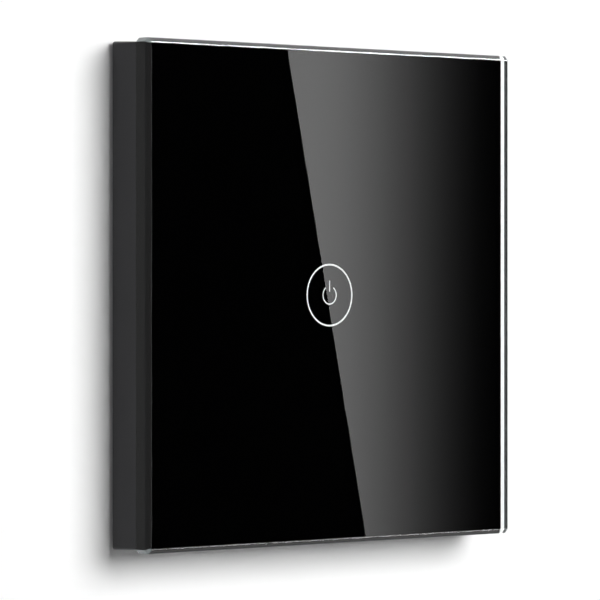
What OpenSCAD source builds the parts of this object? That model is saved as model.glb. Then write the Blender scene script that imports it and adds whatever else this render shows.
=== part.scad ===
// Touch light switch for one lamp: a black glass panel on a pull-off frame, and the
// module behind it that goes into a round wall box. X runs right, Y into the wall and
// Z up. The origin is the centre of the mounting plane, where the plate meets the wall.

/* [Glass panel] */
// Edge length of the square glass
glass_side = 80; // [78:0.5:88]
// Thickness of the glass
glass_t = 3; // [2:0.1:5]
// Width of the bevel round the front of the glass
glass_bevel = 0.7; // [0.4:0.1:1.1]
// Width of the ground edge round the back of the glass
glass_back_edge = 0.2; // [0.1:0.05:0.4]
// Corner radius of the glass
glass_corner_r = 1.2; // [1.2:0.1:3]
// Thickness of the black print on the back of the glass
print_t = 0.1; // [0.05:0.05:0.2]
// Bare border of the glass outside the print
print_margin = 0.7; // [0.5:0.1:1.2]

/* [Icon] */
// Outside diameter of the lit ring
ring_d = 10.1; // [9:0.1:11.4]
// Line width of the ring
ring_line = 0.25; // [0.2:0.05:0.6]
// Outside diameter of the power symbol
symbol_d = 3.1; // [2.5:0.1:4.5]
// Line width of the power symbol
symbol_line = 0.2; // [0.15:0.05:0.5]
// Half angle of the gap at the top of the symbol
symbol_gap = 35; // [25:1:50]
// Length of the symbol's bar
bar_len = 1.8; // [1.2:0.1:2.4]

/* [Panel frame] */
// Step from the edge of the glass in to the side of the frame
frame_inset = 0.3; // [0.2:0.1:1]
// Depth of the frame, from the back of the glass to its rim
frame_depth = 6.1; // [5.5:0.1:8]
// Gap between the rim of the frame and the wall
wall_gap = 0.4; // [0.1:0.05:0.5]
// Wall thickness of the frame
frame_wall = 1.6; // [1.2:0.1:2]
// Thickness of the web that carries the glass
frame_web_t = 1.4; // [1:0.1:1.8]
// Corner radius of the frame
frame_corner_r = 0.5; // [0.5:0.1:3]
// Bevel round the rim of the frame
frame_rim_bevel = 0.3; // [0.2:0.1:0.9]
// Bevel round the front of the frame
frame_front_bevel = 0.15; // [0.1:0.05:0.45]
// Mould draft of the frame: how far each side draws in from the rim to the front
frame_draft = 0.25; // [0:0.05:0.5]
// Thickness of the foam tape
tape_t = 0.5; // [0.3:0.1:0.8]
// Width of the foam tape
tape_w = 5; // [3:0.5:8]
// Diameter of a peg
peg_d = 3.5; // [3:0.1:4]
// Diameter of the collar on a peg
peg_collar_d = 6; // [5:0.1:7]
// Width of the pry notch in the bottom rim
notch_w = 8; // [6:0.5:14]
// Depth of the pry notch
notch_depth = 1.4; // [0.8:0.1:2]

/* [Mounting plate] */
// Thickness of the steel plate
plate_t = 1.2; // [1:0.1:1.5]
// Clearance from the edge of the plate to the frame wall
plate_gap = 2.3; // [1.8:0.1:2.6]
// Corner radius of the plate
plate_corner_r = 2; // [1:0.5:4]
// Spacing of the wall-box screws
box_pitch = 60; // [59.5:0.1:61]
// Width of a screw slot
slot_w = 4.2; // [3.6:0.1:4.6]
// Length by which a slot exceeds its width
slot_travel = 2.2; // [1.5:0.1:2.6]
// Diameter of a grommet's flange
grommet_flange_d = 7; // [6.4:0.1:7.4]
// Thickness of a grommet's flange
grommet_flange_t = 1; // [0.6:0.1:1.1]
// Wall of a grommet round its peg
grommet_wall = 0.65; // [0.5:0.05:0.8]

/* [Housing and cover] */
// Width of the housing across its flats
housing_w = 50; // [49:0.5:51]
// Length that a cut corner takes off each flat
corner_cut = 9.2; // [8:0.1:11]
// Depth of the housing behind the wall plane
housing_depth = 24; // [23:0.5:32]
// Wall thickness of the housing
housing_wall = 1.8; // [1.5:0.1:2]
// Bevel round the rear edge of the housing
housing_edge = 1; // [0.4:0.1:1.4]
// Width of the label field on the rear of the housing
label_w = 30; // [20:1:34]
// Height of the label field
label_h = 12; // [8:0.5:16]
// Depth of the label field
label_depth = 0.3; // [0.2:0.1:0.6]
// Number of vent slots above the label field
vent_count = 7; // [3:1:9]
// Width of a vent slot
vent_w = 1.4; // [1:0.1:1.8]
// Length of a vent slot
vent_l = 6; // [4:0.5:7]
// Bevel at the mouth of a screwdriver hole
driver_mouth = 0.4; // [0.2:0.1:0.8]
// Reach of the flange outside the housing
flange_reach = 1; // [0.6:0.1:1.2]
// Thickness of the flange
flange_t = 1.2; // [0.8:0.1:1.3]
// Thickness of the cover's lip
cover_lip_t = 1; // [0.8:0.1:1.1]
// Thickness of the cover's front
cover_top_t = 1; // [0.8:0.1:1.2]
// Diameter of a cover screw
cover_screw_d = 2.44; // [2:0.02:2.6]
// Head diameter of a cover screw
cover_head_d = 4.6; // [4:0.1:5]
// Distance from the edge of the flange in to a cover screw
cover_screw_edge = 3.5; // [3:0.1:3.8]

/* [Boards] */
// Thickness of the touch board
touch_board_t = 1; // [0.6:0.1:1]
// Thickness of the power board
power_board_t = 1.6; // [1:0.1:1.6]
// Space between the two boards
board_space = 5; // [4.5:0.1:6]
// Clearance round the power board
power_board_gap = 0.6; // [0.4:0.1:1]
// Diameter of a board screw
board_screw_d = 2.2; // [1.8:0.1:2.6]
// Diameter of a boss for a board screw
boss_d = 5.2; // [4.6:0.1:5.6]
// Width of the light guide's ring
guide_w = 2.2; // [2:0.1:2.6]
// Wire diameter of the touch spring
spring_wire = 0.4; // [0.3:0.05:0.45]
// Turns of the touch spring
spring_turns = 3; // [2:0.5:3]

/* [Terminals] */
// Spacing of the terminals
terminal_pitch = 8; // [7.8:0.1:8.2]
// Diameter of the wire hole
wire_d = 3; // [2.4:0.1:3.2]
// Outside width of a clamp cage
cage_w = 6; // [5.6:0.1:6.2]
// Wall thickness of a clamp cage
cage_wall = 1.1; // [0.9:0.1:1.2]
// Thread diameter of a terminal screw
clamp_screw_d = 2.9; // [2.4:0.1:3]
// Head diameter of a terminal screw
clamp_head_d = 4; // [3.6:0.1:4.2]
// Head height of a terminal screw
clamp_head_h = 2.2; // [1.6:0.1:2.2]
// Thickness of a contact strip
strip_t = 0.8; // [0.6:0.1:1]

/* [Relay] */
// Length of the relay
relay_l = 19; // [18.5:0.1:19.5]
// Width of the relay
relay_w = 15.4; // [14.6:0.1:15.6]
// Clearance from the relay to the rear wall of the housing
relay_rear_gap = 2.3; // [1:0.1:3]
// Thickness of the relay's base
relay_base_t = 2; // [1.5:0.1:2.4]
// Wall thickness of the relay's cover
relay_wall = 0.8; // [0.6:0.1:1]
// Thickness of the relay's yoke
yoke_t = 1.2; // [1:0.1:1.4]
// Outside diameter of the relay's coil former
bobbin_d = 9.8; // [9:0.1:10.2]
// Angle that the armature tips through
armature_tilt = 3; // [2:0.5:3.5]

/* [Parts on the power board] */
// Length of the film capacitor
film_l = 18; // [14:0.5:18]
// Width of the film capacitor
film_w = 7; // [5:0.5:7]
// Height of the film capacitor
film_h = 13; // [9:0.5:14]
// Diameter of the electrolytic capacitor
can_d = 8; // [6.3:0.1:8]
// Height of the electrolytic capacitor
can_h = 12; // [9:0.5:14]
// Diameter of the choke
choke_d = 8; // [6:0.1:8]
// Height of the choke
choke_h = 10; // [7:0.5:12]
// Diameter of the varistor
varistor_d = 6.4; // [5:0.1:6.4]
// Length of the fuse
fuse_l = 8; // [6:0.5:10]

/* [Hidden] */
$fn = 64;
// Length by which a cut runs past the face that it opens
past = 1;
// Clearance between parts that are seated in each other
seat_gap = 0.05;
// Running clearance of a shaft or a thread
running_gap = 0.05;
// Clearance between parts that pass each other
pass_gap = 0.2;
// Clearance between the print and the icon in its windows
print_gap = 0.02;
// Gap between the back of the panel and the front of the module
front_gap = 0.3;

// Planes from the front of the glass to the pegs
glass_back_y = -(wall_gap + frame_depth);
glass_front_y = glass_back_y - glass_t;
print_back_y = glass_back_y + print_t;
tape_back_y = print_back_y + tape_t;
web_back_y = tape_back_y + frame_web_t;
peg_tip_y = -0.3;
peg_tip_bevel = 0.4;

// Planes of the module, from its cover to its rear wall
plate_front_y = -plate_t;
flange_front_y = plate_front_y - flange_t;
lip_front_y = flange_front_y - cover_lip_t;
pocket_depth = 0.4;
ledge_y = flange_front_y + pocket_depth;
board_front_y = ledge_y - touch_board_t;
cover_front_y = print_back_y + front_gap;
grommet_front_y = plate_front_y - grommet_flange_t;
power_front_y = ledge_y + board_space;
power_back_y = power_front_y + power_board_t;
rear_inner_y = housing_depth - housing_wall;

// Outlines that fit inside each other
frame_side = glass_side - 2 * frame_inset;
bevel_land = 0.1;
frame_round = max(frame_corner_r, max(frame_draft + frame_front_bevel, frame_rim_bevel) + bevel_land);
frame_bore = frame_side - 2 * frame_wall;
plate_side = frame_bore - 2 * plate_gap;
housing_half = housing_w / 2;
corner_half = (housing_w - corner_cut) / sqrt(2);
flange_w = housing_w + 2 * flange_reach;
peg_pitch = (plate_side + flange_w) / 2;
tape_side = frame_bore - 2 * pass_gap;
window_clear = 2;
web_window = flange_w + 2 * window_clear;
cover_screw_pitch = flange_w - 2 * cover_screw_edge;
cover_head_h = 1.5;
cross_edge = 0.9;
cross_w = 0.7;
opening_gap = 0.4;
plateau_inset = 0.4;
pocket_inset = 1;
board_fit = 0.2;
board_grip = 0.8;
touch_board_inset = pocket_inset + board_fit;
power_board_inset = housing_wall + power_board_gap;
power_half = housing_half - power_board_inset;

// Light guide, lamps and touch spring behind the icon
guide_mid_r = (ring_d - ring_line) / 2;
guide_inner_r = guide_mid_r - guide_w / 2;
guide_outer_r = guide_mid_r + guide_w / 2;
guide_wall = 0.35;
groove_depth = 0.9;
guide_front_y = print_back_y + pass_gap;
led_size = [0.8, 0.7, 1.6];
spring_gap = 0.7;
spring_r = guide_inner_r - spring_gap - spring_wire / 2;
spring_sides = 8;
spring_steps = 16;
spring_dead = 0.25;
spring_front_y = print_back_y + seat_gap;

// Plug-in link between the boards
pin_count = 6;
pin_pitch = 2.54;
pin_w = 0.64;
pin_tail = 1.4;
pin_reach = 0.4;
header_h = 2.5;
header_w = 2.54;
header_l = pin_count * pin_pitch;
header_edge = 2.08;
header_z = power_half - header_edge;
header_front_y = power_front_y - header_h;

// Touch chip on the back of the touch board
chip_size = [5, 1.5, 4];
chip_z = -8;
chip_stand = 0.1;
lead_size = [0.4, 0.2, 1];
lead_count = 4;
lead_pitch = 1.27;

// Rising-cage terminals
cell_w = cage_w + 2 * pass_gap;
block_gap = 0.3;
block_front_wall = 2.7;
block_back_wall = 2.9;
block_side_wall = 1.1;
block_bottom_z = -(housing_half - housing_wall - block_gap);
cell_z = block_bottom_z + block_front_wall + cell_w / 2;
block_top_z = cell_z + cell_w / 2 + block_back_wall;
block_w = 2 * terminal_pitch + cell_w + 2 * block_side_wall;
block_back_y = rear_inner_y - block_gap;
cage_stand = 1.2;
cage_front_y = power_back_y + cage_stand;
cage_floor_y = cage_front_y + cage_wall;
strip_gap = 0.3;
strip_front_y = cage_floor_y + wire_d + strip_gap;
strip_back_y = strip_front_y + strip_t;
strip_w = cage_w - 2 * cage_wall - 2 * pass_gap;
strip_end = 0.6;
cage_top_y = strip_back_y + pass_gap;
cage_top_t = 1.5;
cage_back_y = cage_top_y + cage_top_t;
cell_spare = 0.5;
cell_back_y = cage_back_y + wire_d + cell_spare;
bridge_t = 2.1;
screw_seat_y = cell_back_y + bridge_t;
screw_play = 0.1;
screw_tip_y = strip_back_y + screw_play;
screw_head_y = screw_seat_y + screw_play;
screw_end_y = screw_head_y + clamp_head_h;
screw_slot_w = 0.8;
screw_slot_depth = 1.1;
shaft_gap = 0.3;
wire_y = cage_floor_y + (wire_d + strip_gap) / 2;
nose_wall = 0.75;
nose_h = wire_d + 2 * nose_wall;
nose_side = 2;
nose_w = 2 * (terminal_pitch + nose_side) + wire_d;
nose_gap = 0.25;
driver_d = clamp_head_d + 2 * shaft_gap;

// Vent slots and label field, one above the other over the screwdriver holes
vent_edge = 2.5;
vent_pitch = 2.4 * vent_w;
vent_z = housing_half - housing_edge - vent_edge - vent_l / 2;
label_r = 1.5;
label_z = (vent_z - vent_l / 2 + cell_z + driver_d / 2) / 2;

// Relay and film capacitor, spaced evenly from the terminals to the header pins
row_gap = (header_z - pin_w / 2 - block_top_z - relay_w - film_w) / 3;
relay_z = block_top_z + row_gap + relay_w / 2;
film_z = relay_z + relay_w / 2 + row_gap + film_w / 2;

// Relay, with its pivot at the top of the yoke
relay_base_y = power_back_y + relay_base_t;
relay_back_y = rear_inner_y - relay_rear_gap;
yoke_gap = 0.4;
pivot_room = 3.1;
pivot_x = -(relay_l / 2 - relay_wall - yoke_gap - yoke_t / 2);
pivot_y = relay_back_y - relay_wall - pivot_room;
yoke_w = 9;
yoke_foot_y = relay_base_y + yoke_t;
armature_t = 1;
armature_w = 8;
armature_tail = 0.1;
armature_reach = 1;
armature_front_y = pivot_y + yoke_t / 2 + running_gap;
armature_back_y = armature_front_y + armature_t;
closed_gap = 0.08;
core_d = 3.6;
pole_d = 6;
pole_t = 0.8;
bobbin_gap = 0.7;
core_x = pivot_x + yoke_t / 2 + bobbin_gap + bobbin_d / 2;
pole_y = armature_front_y - (core_x + pole_d / 2 - pivot_x) * sin(armature_tilt) - closed_gap;
bobbin_wall = 0.6;
bobbin_flange_t = 0.8;
winding_step = 0.3;
blade_t = 0.25;
blade_w = 3;
blade_start = 1.5;
blade_edge = 0.1;
contact_d = 1.8;
contact_h = 0.9;
rivet_h = 0.3;
contact_room = 2.7;
contact_x = relay_l / 2 - relay_wall - contact_room;
contact_front_y = armature_back_y - contact_h;
fixed_contact_y = contact_front_y
    - (contact_x + contact_d / 2 - pivot_x) * sin(armature_tilt) - closed_gap;
fixed_button_h = 0.6;
fixed_strip_t = 0.5;
fixed_strip_w = 2;
fixed_strip_x = contact_x + contact_d / 2 + pass_gap;

// Other parts on the power board
leg_d = 0.8;
leg_tail = 1;
leg_gap = 0.1;
film_leg_edge = 1.5;
film_leg_x = film_l / 2 - film_leg_edge;
side_x = (relay_l / 2 + housing_half - housing_wall) / 2;
boss_edge = 4.1;
boss_x = power_half - boss_edge;
boss_rise = 4.9;
boss_z = block_top_z + boss_rise;
boss_screw_depth = 8;
board_head_d = 4;
board_head_h = 1.4;
varistor_gap = 0.4;
varistor_z = boss_z + (boss_d + varistor_d) / 2 + varistor_gap;
can_gap = 0.6;
can_z = varistor_z + (varistor_d + can_d) / 2 + can_gap;
can_leg_x = 1.75;
can_groove = 0.4;
can_groove_rise = 1.6;
can_bevel = 0.5;
choke_flange_t = 1.2;
choke_core_d = 3;
choke_leg_x = 2.2;
varistor_t = 3.4;
varistor_stand = 0.6;
varistor_leg_z = 2;
fuse_d = 3.4;
fuse_cap_l = 1.5;
fuse_cap_step = 0.15;

// Shapes shared by the parts

// A flat outline in X and Z, thickened from one Y plane to another
module layer(y_front, y_back) {
    translate([0, y_back, 0])
        rotate([90, 0, 0])
            linear_extrude(height = y_back - y_front)
                children();
}

// A round rod along Y
module rod(y_front, y_back, d) {
    translate([0, y_front, 0])
        rotate([-90, 0, 0])
            cylinder(h = y_back - y_front, d = d);
}

// A turned part about the Y axis, from a profile of radius and Y
module turned() {
    rotate([-90, 0, 0])
        rotate_extrude()
            children();
}

// A box from its X and Z centre, its size and its two Y planes
module block(x, z, w, h, y_front, y_back) {
    translate([x - w / 2, y_front, z - h / 2])
        cube([w, y_back - y_front, h]);
}

// Copies at the four corners of a square
module at_corners(pitch) {
    for (x = [-1, 1], z = [-1, 1])
        translate([x * pitch / 2, 0, z * pitch / 2])
            children();
}

// Copies at the three terminals
module at_terminals() {
    for (n = [-1, 0, 1])
        translate([n * terminal_pitch, 0, cell_z])
            children();
}

// The octagon of the housing, drawn in by an inset
module housing_outline(inset) {
    half = housing_half - inset;
    edge = (corner_half - inset) * sqrt(2) - half;
    polygon([
        for (q = [0:90:270], s = [-1, 1])
            [half * cos(q) - s * edge * sin(q), half * sin(q) + s * edge * cos(q)]
    ]);
}

// A slab with the octagon's outline
module housing_slab(inset, y_front, y_back) {
    layer(y_front, y_back)
        housing_outline(inset);
}

// A square slab
module square_slab(side, y_front, y_back) {
    layer(y_front, y_back)
        square(side, center = true);
}

// An oblong outline with round corners
module round_oblong(w, h, r) {
    square([w, h - 2 * r], center = true);
    square([w - 2 * r, h], center = true);
    for (x = [-1, 1], y = [-1, 1])
        translate([x * (w / 2 - r), y * (h / 2 - r)])
            circle(r);
}

// A slot along X with round ends
module slot_outline(w, travel) {
    square([travel, w], center = true);
    for (s = [-1, 1])
        translate([s * travel / 2, 0])
            circle(d = w);
}

// A square block with round corners, bevelled round its front and its back. Its sides draw in
// towards the front by the draft.
module bevelled_block(side, r, y_front, y_back, front_bevel, back_bevel, draft = 0) {
    half = side / 2;
    front_half = half - draft;
    front_r = r - draft;
    bar_l = side - 2 * r;
    section = [
        [-front_half + front_bevel, y_front],
        [front_half - front_bevel, y_front],
        [front_half, y_front + front_bevel],
        [half, y_back - back_bevel],
        [half - back_bevel, y_back],
        [-half + back_bevel, y_back],
        [-half, y_back - back_bevel],
        [-front_half, y_front + front_bevel]
    ];
    corner = [
        [0, y_front],
        [front_r - front_bevel, y_front],
        [front_r, y_front + front_bevel],
        [r, y_back - back_bevel],
        [r - back_bevel, y_back],
        [0, y_back]
    ];
    linear_extrude(height = bar_l, center = true)
        polygon(section);
    rotate([0, -90, 0])
        linear_extrude(height = bar_l, center = true)
            polygon(section);
    at_corners(bar_l)
        turned()
            polygon(corner);
}

// A screw with a cross recess, its head towards the front
module pan_screw(seat_y, tip_y, d, head_d, head_h) {
    head_bevel = head_h / 4;
    cross_l = head_d - 2 * cross_edge;
    cross_depth = head_h / 2;
    head_y = seat_y - head_h;
    difference() {
        turned()
            polygon([
                [0, head_y],
                [head_d / 2 - head_bevel, head_y],
                [head_d / 2, head_y + head_bevel],
                [head_d / 2, seat_y],
                [d / 2, seat_y],
                [d / 2, tip_y],
                [0, tip_y]
            ]);
        block(0, 0, cross_l, cross_w, head_y - past, head_y + cross_depth);
        block(0, 0, cross_w, cross_l, head_y - past, head_y + cross_depth);
    }
}

// Two wire legs through the power board
module legs(spread, along_z = false) {
    for (s = [-1, 1])
        translate(along_z ? [0, 0, s * spread] : [s * spread, 0, 0])
            rod(power_front_y - leg_tail, power_back_y + leg_tail, leg_d);
}

// Panel

module glass_panel() {
    color("black")
        bevelled_block(
            glass_side, glass_corner_r, glass_front_y, glass_back_y, glass_bevel, glass_back_edge
        );
}

// The lit ring and the power symbol, grown all round
module icon_outline(grow) {
    ring_r = ring_d / 2;
    arc_r = symbol_d / 2;
    gap_reach = symbol_d * tan(symbol_gap);
    difference() {
        circle(ring_r + grow);
        circle(ring_r - ring_line - grow);
    }
    difference() {
        circle(arc_r + grow);
        circle(arc_r - symbol_line - grow);
        translate([0, grow / sin(symbol_gap)])
            polygon([[0, 0], [gap_reach, symbol_d], [-gap_reach, symbol_d]]);
    }
    translate([0, arc_r - symbol_line / 2])
        square([symbol_line + 2 * grow, bar_len + 2 * grow], center = true);
}

module back_print() {
    color("#101012")
        layer(glass_back_y, print_back_y)
            difference() {
                square(glass_side - 2 * print_margin, center = true);
                icon_outline(print_gap);
            }
}

module touch_icon() {
    color("white")
        layer(glass_back_y, print_back_y)
            icon_outline(0);
}

module adhesive_tape() {
    color("dimgray")
        layer(print_back_y, tape_back_y)
            difference() {
                square(tape_side, center = true);
                square(tape_side - 2 * tape_w, center = true);
            }
}

module peg() {
    turned()
        polygon([
            [0, web_back_y - frame_web_t / 2],
            [peg_collar_d / 2, web_back_y - frame_web_t / 2],
            [peg_collar_d / 2, grommet_front_y - seat_gap],
            [peg_d / 2, grommet_front_y - seat_gap],
            [peg_d / 2, peg_tip_y - peg_tip_bevel],
            [peg_d / 2 - peg_tip_bevel, peg_tip_y],
            [0, peg_tip_y]
        ]);
}

module panel_frame() {
    color("#353537") {
        difference() {
            bevelled_block(
                frame_side, frame_round, print_back_y, -wall_gap, frame_front_bevel, frame_rim_bevel,
                frame_draft
            );
            square_slab(frame_bore, print_back_y - past, tape_back_y);
            square_slab(frame_bore, web_back_y, past);
            square_slab(web_window, print_back_y, past);
            block(0, -frame_side / 2, notch_w, 2 * frame_wall + past, -wall_gap - notch_depth, past);
        }
        at_corners(peg_pitch)
            peg();
    }
}

// Mounting plate

module mounting_plate() {
    grommet_hole_d = peg_d + 2 * (running_gap + grommet_wall + seat_gap);
    color("silver")
        difference() {
            layer(plate_front_y, 0)
                round_oblong(plate_side, plate_side, plate_corner_r);
            housing_slab(-opening_gap, plate_front_y - past, past);
            layer(plate_front_y - past, past)
                for (s = [-1, 1]) {
                    translate([s * box_pitch / 2, 0])
                        slot_outline(slot_w, slot_travel);
                    translate([0, s * box_pitch / 2])
                        rotate(90)
                            slot_outline(slot_w, slot_travel);
                }
            at_corners(peg_pitch)
                rod(plate_front_y - past, past, grommet_hole_d);
            at_corners(cover_screw_pitch)
                rod(plate_front_y - past, past, cover_screw_d + 2 * running_gap);
        }
}

module panel_grommets() {
    bore_r = peg_d / 2 + running_gap;
    color("#2a2a2c")
        at_corners(peg_pitch)
            turned()
                polygon([
                    [bore_r, grommet_front_y],
                    [grommet_flange_d / 2, grommet_front_y],
                    [grommet_flange_d / 2, plate_front_y],
                    [bore_r + grommet_wall, plate_front_y],
                    [bore_r + grommet_wall, 0],
                    [bore_r, 0]
                ]);
}

// Housing and cover

// Wedges that bevel the rear edge of the housing
module rear_edge_cuts() {
    bevel_side = housing_edge * sqrt(2);
    for (a = [0:45:315]) {
        reach = a % 90 == 0 ? housing_half : corner_half;
        rotate([0, a, 0])
            translate([reach, housing_depth, 0])
                rotate([0, 0, 45])
                    cube([bevel_side, bevel_side, housing_w], center = true);
    }
}

module boss() {
    rod(power_back_y, housing_depth - housing_wall / 2, boss_d);
}

// Slots through the rear wall that let warm air out
module vent_cuts() {
    layer(rear_inner_y - past, housing_depth + past)
        for (i = [0:vent_count - 1])
            translate([(i - (vent_count - 1) / 2) * vent_pitch, vent_z])
                rotate(90)
                    slot_outline(vent_w, vent_l - vent_w);
}

// The shallow field for a label
module label_cut() {
    layer(housing_depth - label_depth, housing_depth + past)
        translate([0, label_z])
            round_oblong(label_w, label_h, label_r);
}

// A hole for a screwdriver, bevelled at its mouth
module driver_cut() {
    mouth_r = driver_d / 2 + driver_mouth + past;
    turned()
        polygon([
            [0, rear_inner_y - past],
            [driver_d / 2, rear_inner_y - past],
            [driver_d / 2, housing_depth - driver_mouth],
            [mouth_r, housing_depth + past],
            [0, housing_depth + past]
        ]);
}

module rear_housing() {
    color("whitesmoke")
        difference() {
            union() {
                difference() {
                    union() {
                        housing_slab(0, flange_front_y, housing_depth);
                        square_slab(flange_w, flange_front_y, plate_front_y);
                    }
                    housing_slab(housing_wall, ledge_y - past, rear_inner_y);
                    housing_slab(pocket_inset, flange_front_y - past, ledge_y);
                    rear_edge_cuts();
                }
                for (s = [-1, 1])
                    translate([s * boss_x, 0, boss_z])
                        boss();
            }
            for (s = [-1, 1])
                translate([s * boss_x, 0, boss_z])
                    rod(power_back_y - past, power_back_y + boss_screw_depth + past, board_screw_d);
            at_corners(cover_screw_pitch)
                rod(flange_front_y - past, plate_front_y + past, cover_screw_d + 2 * pass_gap);
            at_terminals()
                driver_cut();
            vent_cuts();
            label_cut();
            block(
                0, -housing_half, nose_w + 2 * nose_gap, 2 * housing_wall + past,
                wire_y - nose_h / 2 - nose_gap, wire_y + nose_h / 2 + nose_gap
            );
        }
}

module front_cover() {
    cavity_inset = touch_board_inset + board_grip;
    color("whitesmoke")
        difference() {
            union() {
                square_slab(flange_w, lip_front_y, flange_front_y);
                housing_slab(plateau_inset, cover_front_y, flange_front_y);
            }
            housing_slab(pocket_inset, board_front_y, flange_front_y + past);
            housing_slab(cavity_inset, cover_front_y + cover_top_t, board_front_y + past);
            rod(cover_front_y - past, board_front_y, 2 * (guide_outer_r + pass_gap));
            at_corners(cover_screw_pitch)
                rod(lip_front_y - past, flange_front_y + past, cover_screw_d + 2 * pass_gap);
        }
}

module cover_screws() {
    color("silver")
        at_corners(cover_screw_pitch)
            pan_screw(lip_front_y, 0, cover_screw_d, cover_head_d, cover_head_h);
}

// Touch board and what it carries

module light_guide() {
    groove_y = board_front_y - groove_depth;
    color("ghostwhite")
        turned()
            polygon([
                [guide_inner_r, guide_front_y],
                [guide_outer_r, guide_front_y],
                [guide_outer_r, board_front_y],
                [guide_outer_r - guide_wall, board_front_y],
                [guide_outer_r - guide_wall, groove_y],
                [guide_inner_r + guide_wall, groove_y],
                [guide_inner_r + guide_wall, board_front_y],
                [guide_inner_r, board_front_y]
            ]);
}

// Height of the spring's wire at a count of turns, with flat ends
function spring_y(n) =
    let (rise = max(0, min(1, (n - spring_dead) / (spring_turns - 2 * spring_dead))))
    board_front_y - spring_wire / 2 + rise * (spring_front_y - board_front_y + spring_wire);

// One point on the spring's wire, at ring i and side j
function spring_point(i, j) =
    let (
        n = i / spring_steps,
        a = 360 * n,
        b = 360 * j / spring_sides,
        r = spring_r + spring_wire / 2 * cos(b)
    )
    [r * cos(a), spring_y(n) + spring_wire / 2 * sin(b), r * sin(a)];

module touch_spring() {
    rings = spring_turns * spring_steps;
    sides = spring_sides;
    color("gold")
        polyhedron(
            points = [for (i = [0:rings], j = [0:sides - 1]) spring_point(i, j)],
            faces = [
                for (i = [0:rings - 1], j = [0:sides - 1])
                    let (k = (j + 1) % sides)
                    [i * sides + j, (i + 1) * sides + j, (i + 1) * sides + k, i * sides + k],
                [for (j = [0:sides - 1]) j],
                [for (j = [sides - 1:-1:0]) rings * sides + j]
            ]
        );
}

module touch_board() {
    color("darkgreen")
        housing_slab(touch_board_inset, board_front_y, ledge_y);
}

module touch_chip() {
    row = (lead_count - 1) / 2;
    color("#1c1c1e")
        translate([0, 0, chip_z]) {
            block(0, 0, chip_size[0], chip_size[2], ledge_y + chip_stand, ledge_y + chip_size[1]);
            for (n = [-row:row], s = [-1, 1])
                block(
                    n * lead_pitch, s * (chip_size[2] + lead_size[2]) / 2,
                    lead_size[0], 2 * lead_size[2], ledge_y, ledge_y + chip_stand + lead_size[1]
                );
        }
}

module indicator_leds() {
    color("white")
        for (a = [0:90:270])
            rotate([0, a, 0])
                block(
                    guide_mid_r, 0, led_size[0], led_size[2], board_front_y - led_size[1], board_front_y
                );
}

// Copies along the row of header pins
module at_pins() {
    row = (pin_count - 1) / 2;
    for (n = [-row:row])
        translate([n * pin_pitch, 0, header_z])
            children();
}

module board_socket() {
    socket_back_y = header_front_y - leg_gap;
    hole_w = pin_w + 2 * leg_gap;
    color("#1c1c1e")
        difference() {
            block(0, header_z, header_l, header_w, ledge_y, socket_back_y);
            at_pins()
                block(0, 0, hole_w, hole_w, ledge_y + pin_reach / 2, socket_back_y + past);
        }
}

module board_header() {
    hole_w = pin_w + 2 * seat_gap;
    color("#1c1c1e")
        difference() {
            block(0, header_z, header_l, header_w, header_front_y, power_front_y);
            at_pins()
                block(0, 0, hole_w, hole_w, header_front_y - past, power_front_y + past);
        }
}

module header_pins() {
    color("gold")
        at_pins()
            block(0, 0, pin_w, pin_w, ledge_y + pin_reach, power_back_y + pin_tail);
}

// Power board and what it carries

module leg_holes(spread, along_z = false) {
    for (s = [-1, 1])
        translate(along_z ? [0, 0, s * spread] : [s * spread, 0, 0])
            rod(power_front_y - past, power_back_y + past, leg_d + 2 * leg_gap);
}

module power_board() {
    color("darkgreen")
        difference() {
            housing_slab(power_board_inset, power_front_y, power_back_y);
            at_pins()
                rod(power_front_y - past, power_back_y + past, pin_w * sqrt(2) + 2 * leg_gap);
            for (s = [-1, 1])
                translate([s * boss_x, 0, boss_z])
                    rod(power_front_y - past, power_back_y + past, board_screw_d + 2 * pass_gap);
            at_terminals()
                block(
                    0, strip_leg_z(), strip_w + 2 * leg_gap, strip_t + 2 * leg_gap,
                    power_front_y - past, power_back_y + past
                );
            block(
                fixed_strip_x + fixed_strip_t / 2, relay_z, fixed_strip_t + 2 * leg_gap,
                fixed_strip_w + 2 * leg_gap, power_front_y - past, power_back_y + past
            );
            translate([0, 0, film_z])
                leg_holes(film_leg_x);
            translate([-side_x, 0, can_z])
                leg_holes(can_leg_x);
            translate([side_x, 0, can_z])
                leg_holes(choke_leg_x);
            translate([-side_x, 0, varistor_z])
                leg_holes(varistor_leg_z, true);
            translate([side_x, 0, varistor_z])
                leg_holes(0);
        }
}

module board_screws() {
    color("silver")
        for (s = [-1, 1])
            translate([s * boss_x, 0, boss_z])
                pan_screw(
                    power_front_y, power_back_y + boss_screw_depth,
                    board_screw_d - 2 * running_gap, board_head_d, board_head_h
                );
}

module film_capacitor() {
    color("goldenrod")
        translate([0, 0, film_z]) {
            block(0, 0, film_l, film_w, power_back_y, power_back_y + film_h);
            legs(film_leg_x);
        }
}

module electrolytic_capacitor() {
    r = can_d / 2;
    end_y = power_back_y + can_h;
    groove_y = power_back_y + can_groove_rise;
    color("#26262e")
        translate([-side_x, 0, can_z]) {
            turned()
                polygon([
                    [0, power_back_y],
                    [r, power_back_y],
                    [r, groove_y - can_groove],
                    [r - can_groove, groove_y],
                    [r, groove_y + can_groove],
                    [r, end_y - can_bevel],
                    [r - can_bevel, end_y],
                    [0, end_y]
                ]);
            legs(can_leg_x);
        }
}

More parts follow.
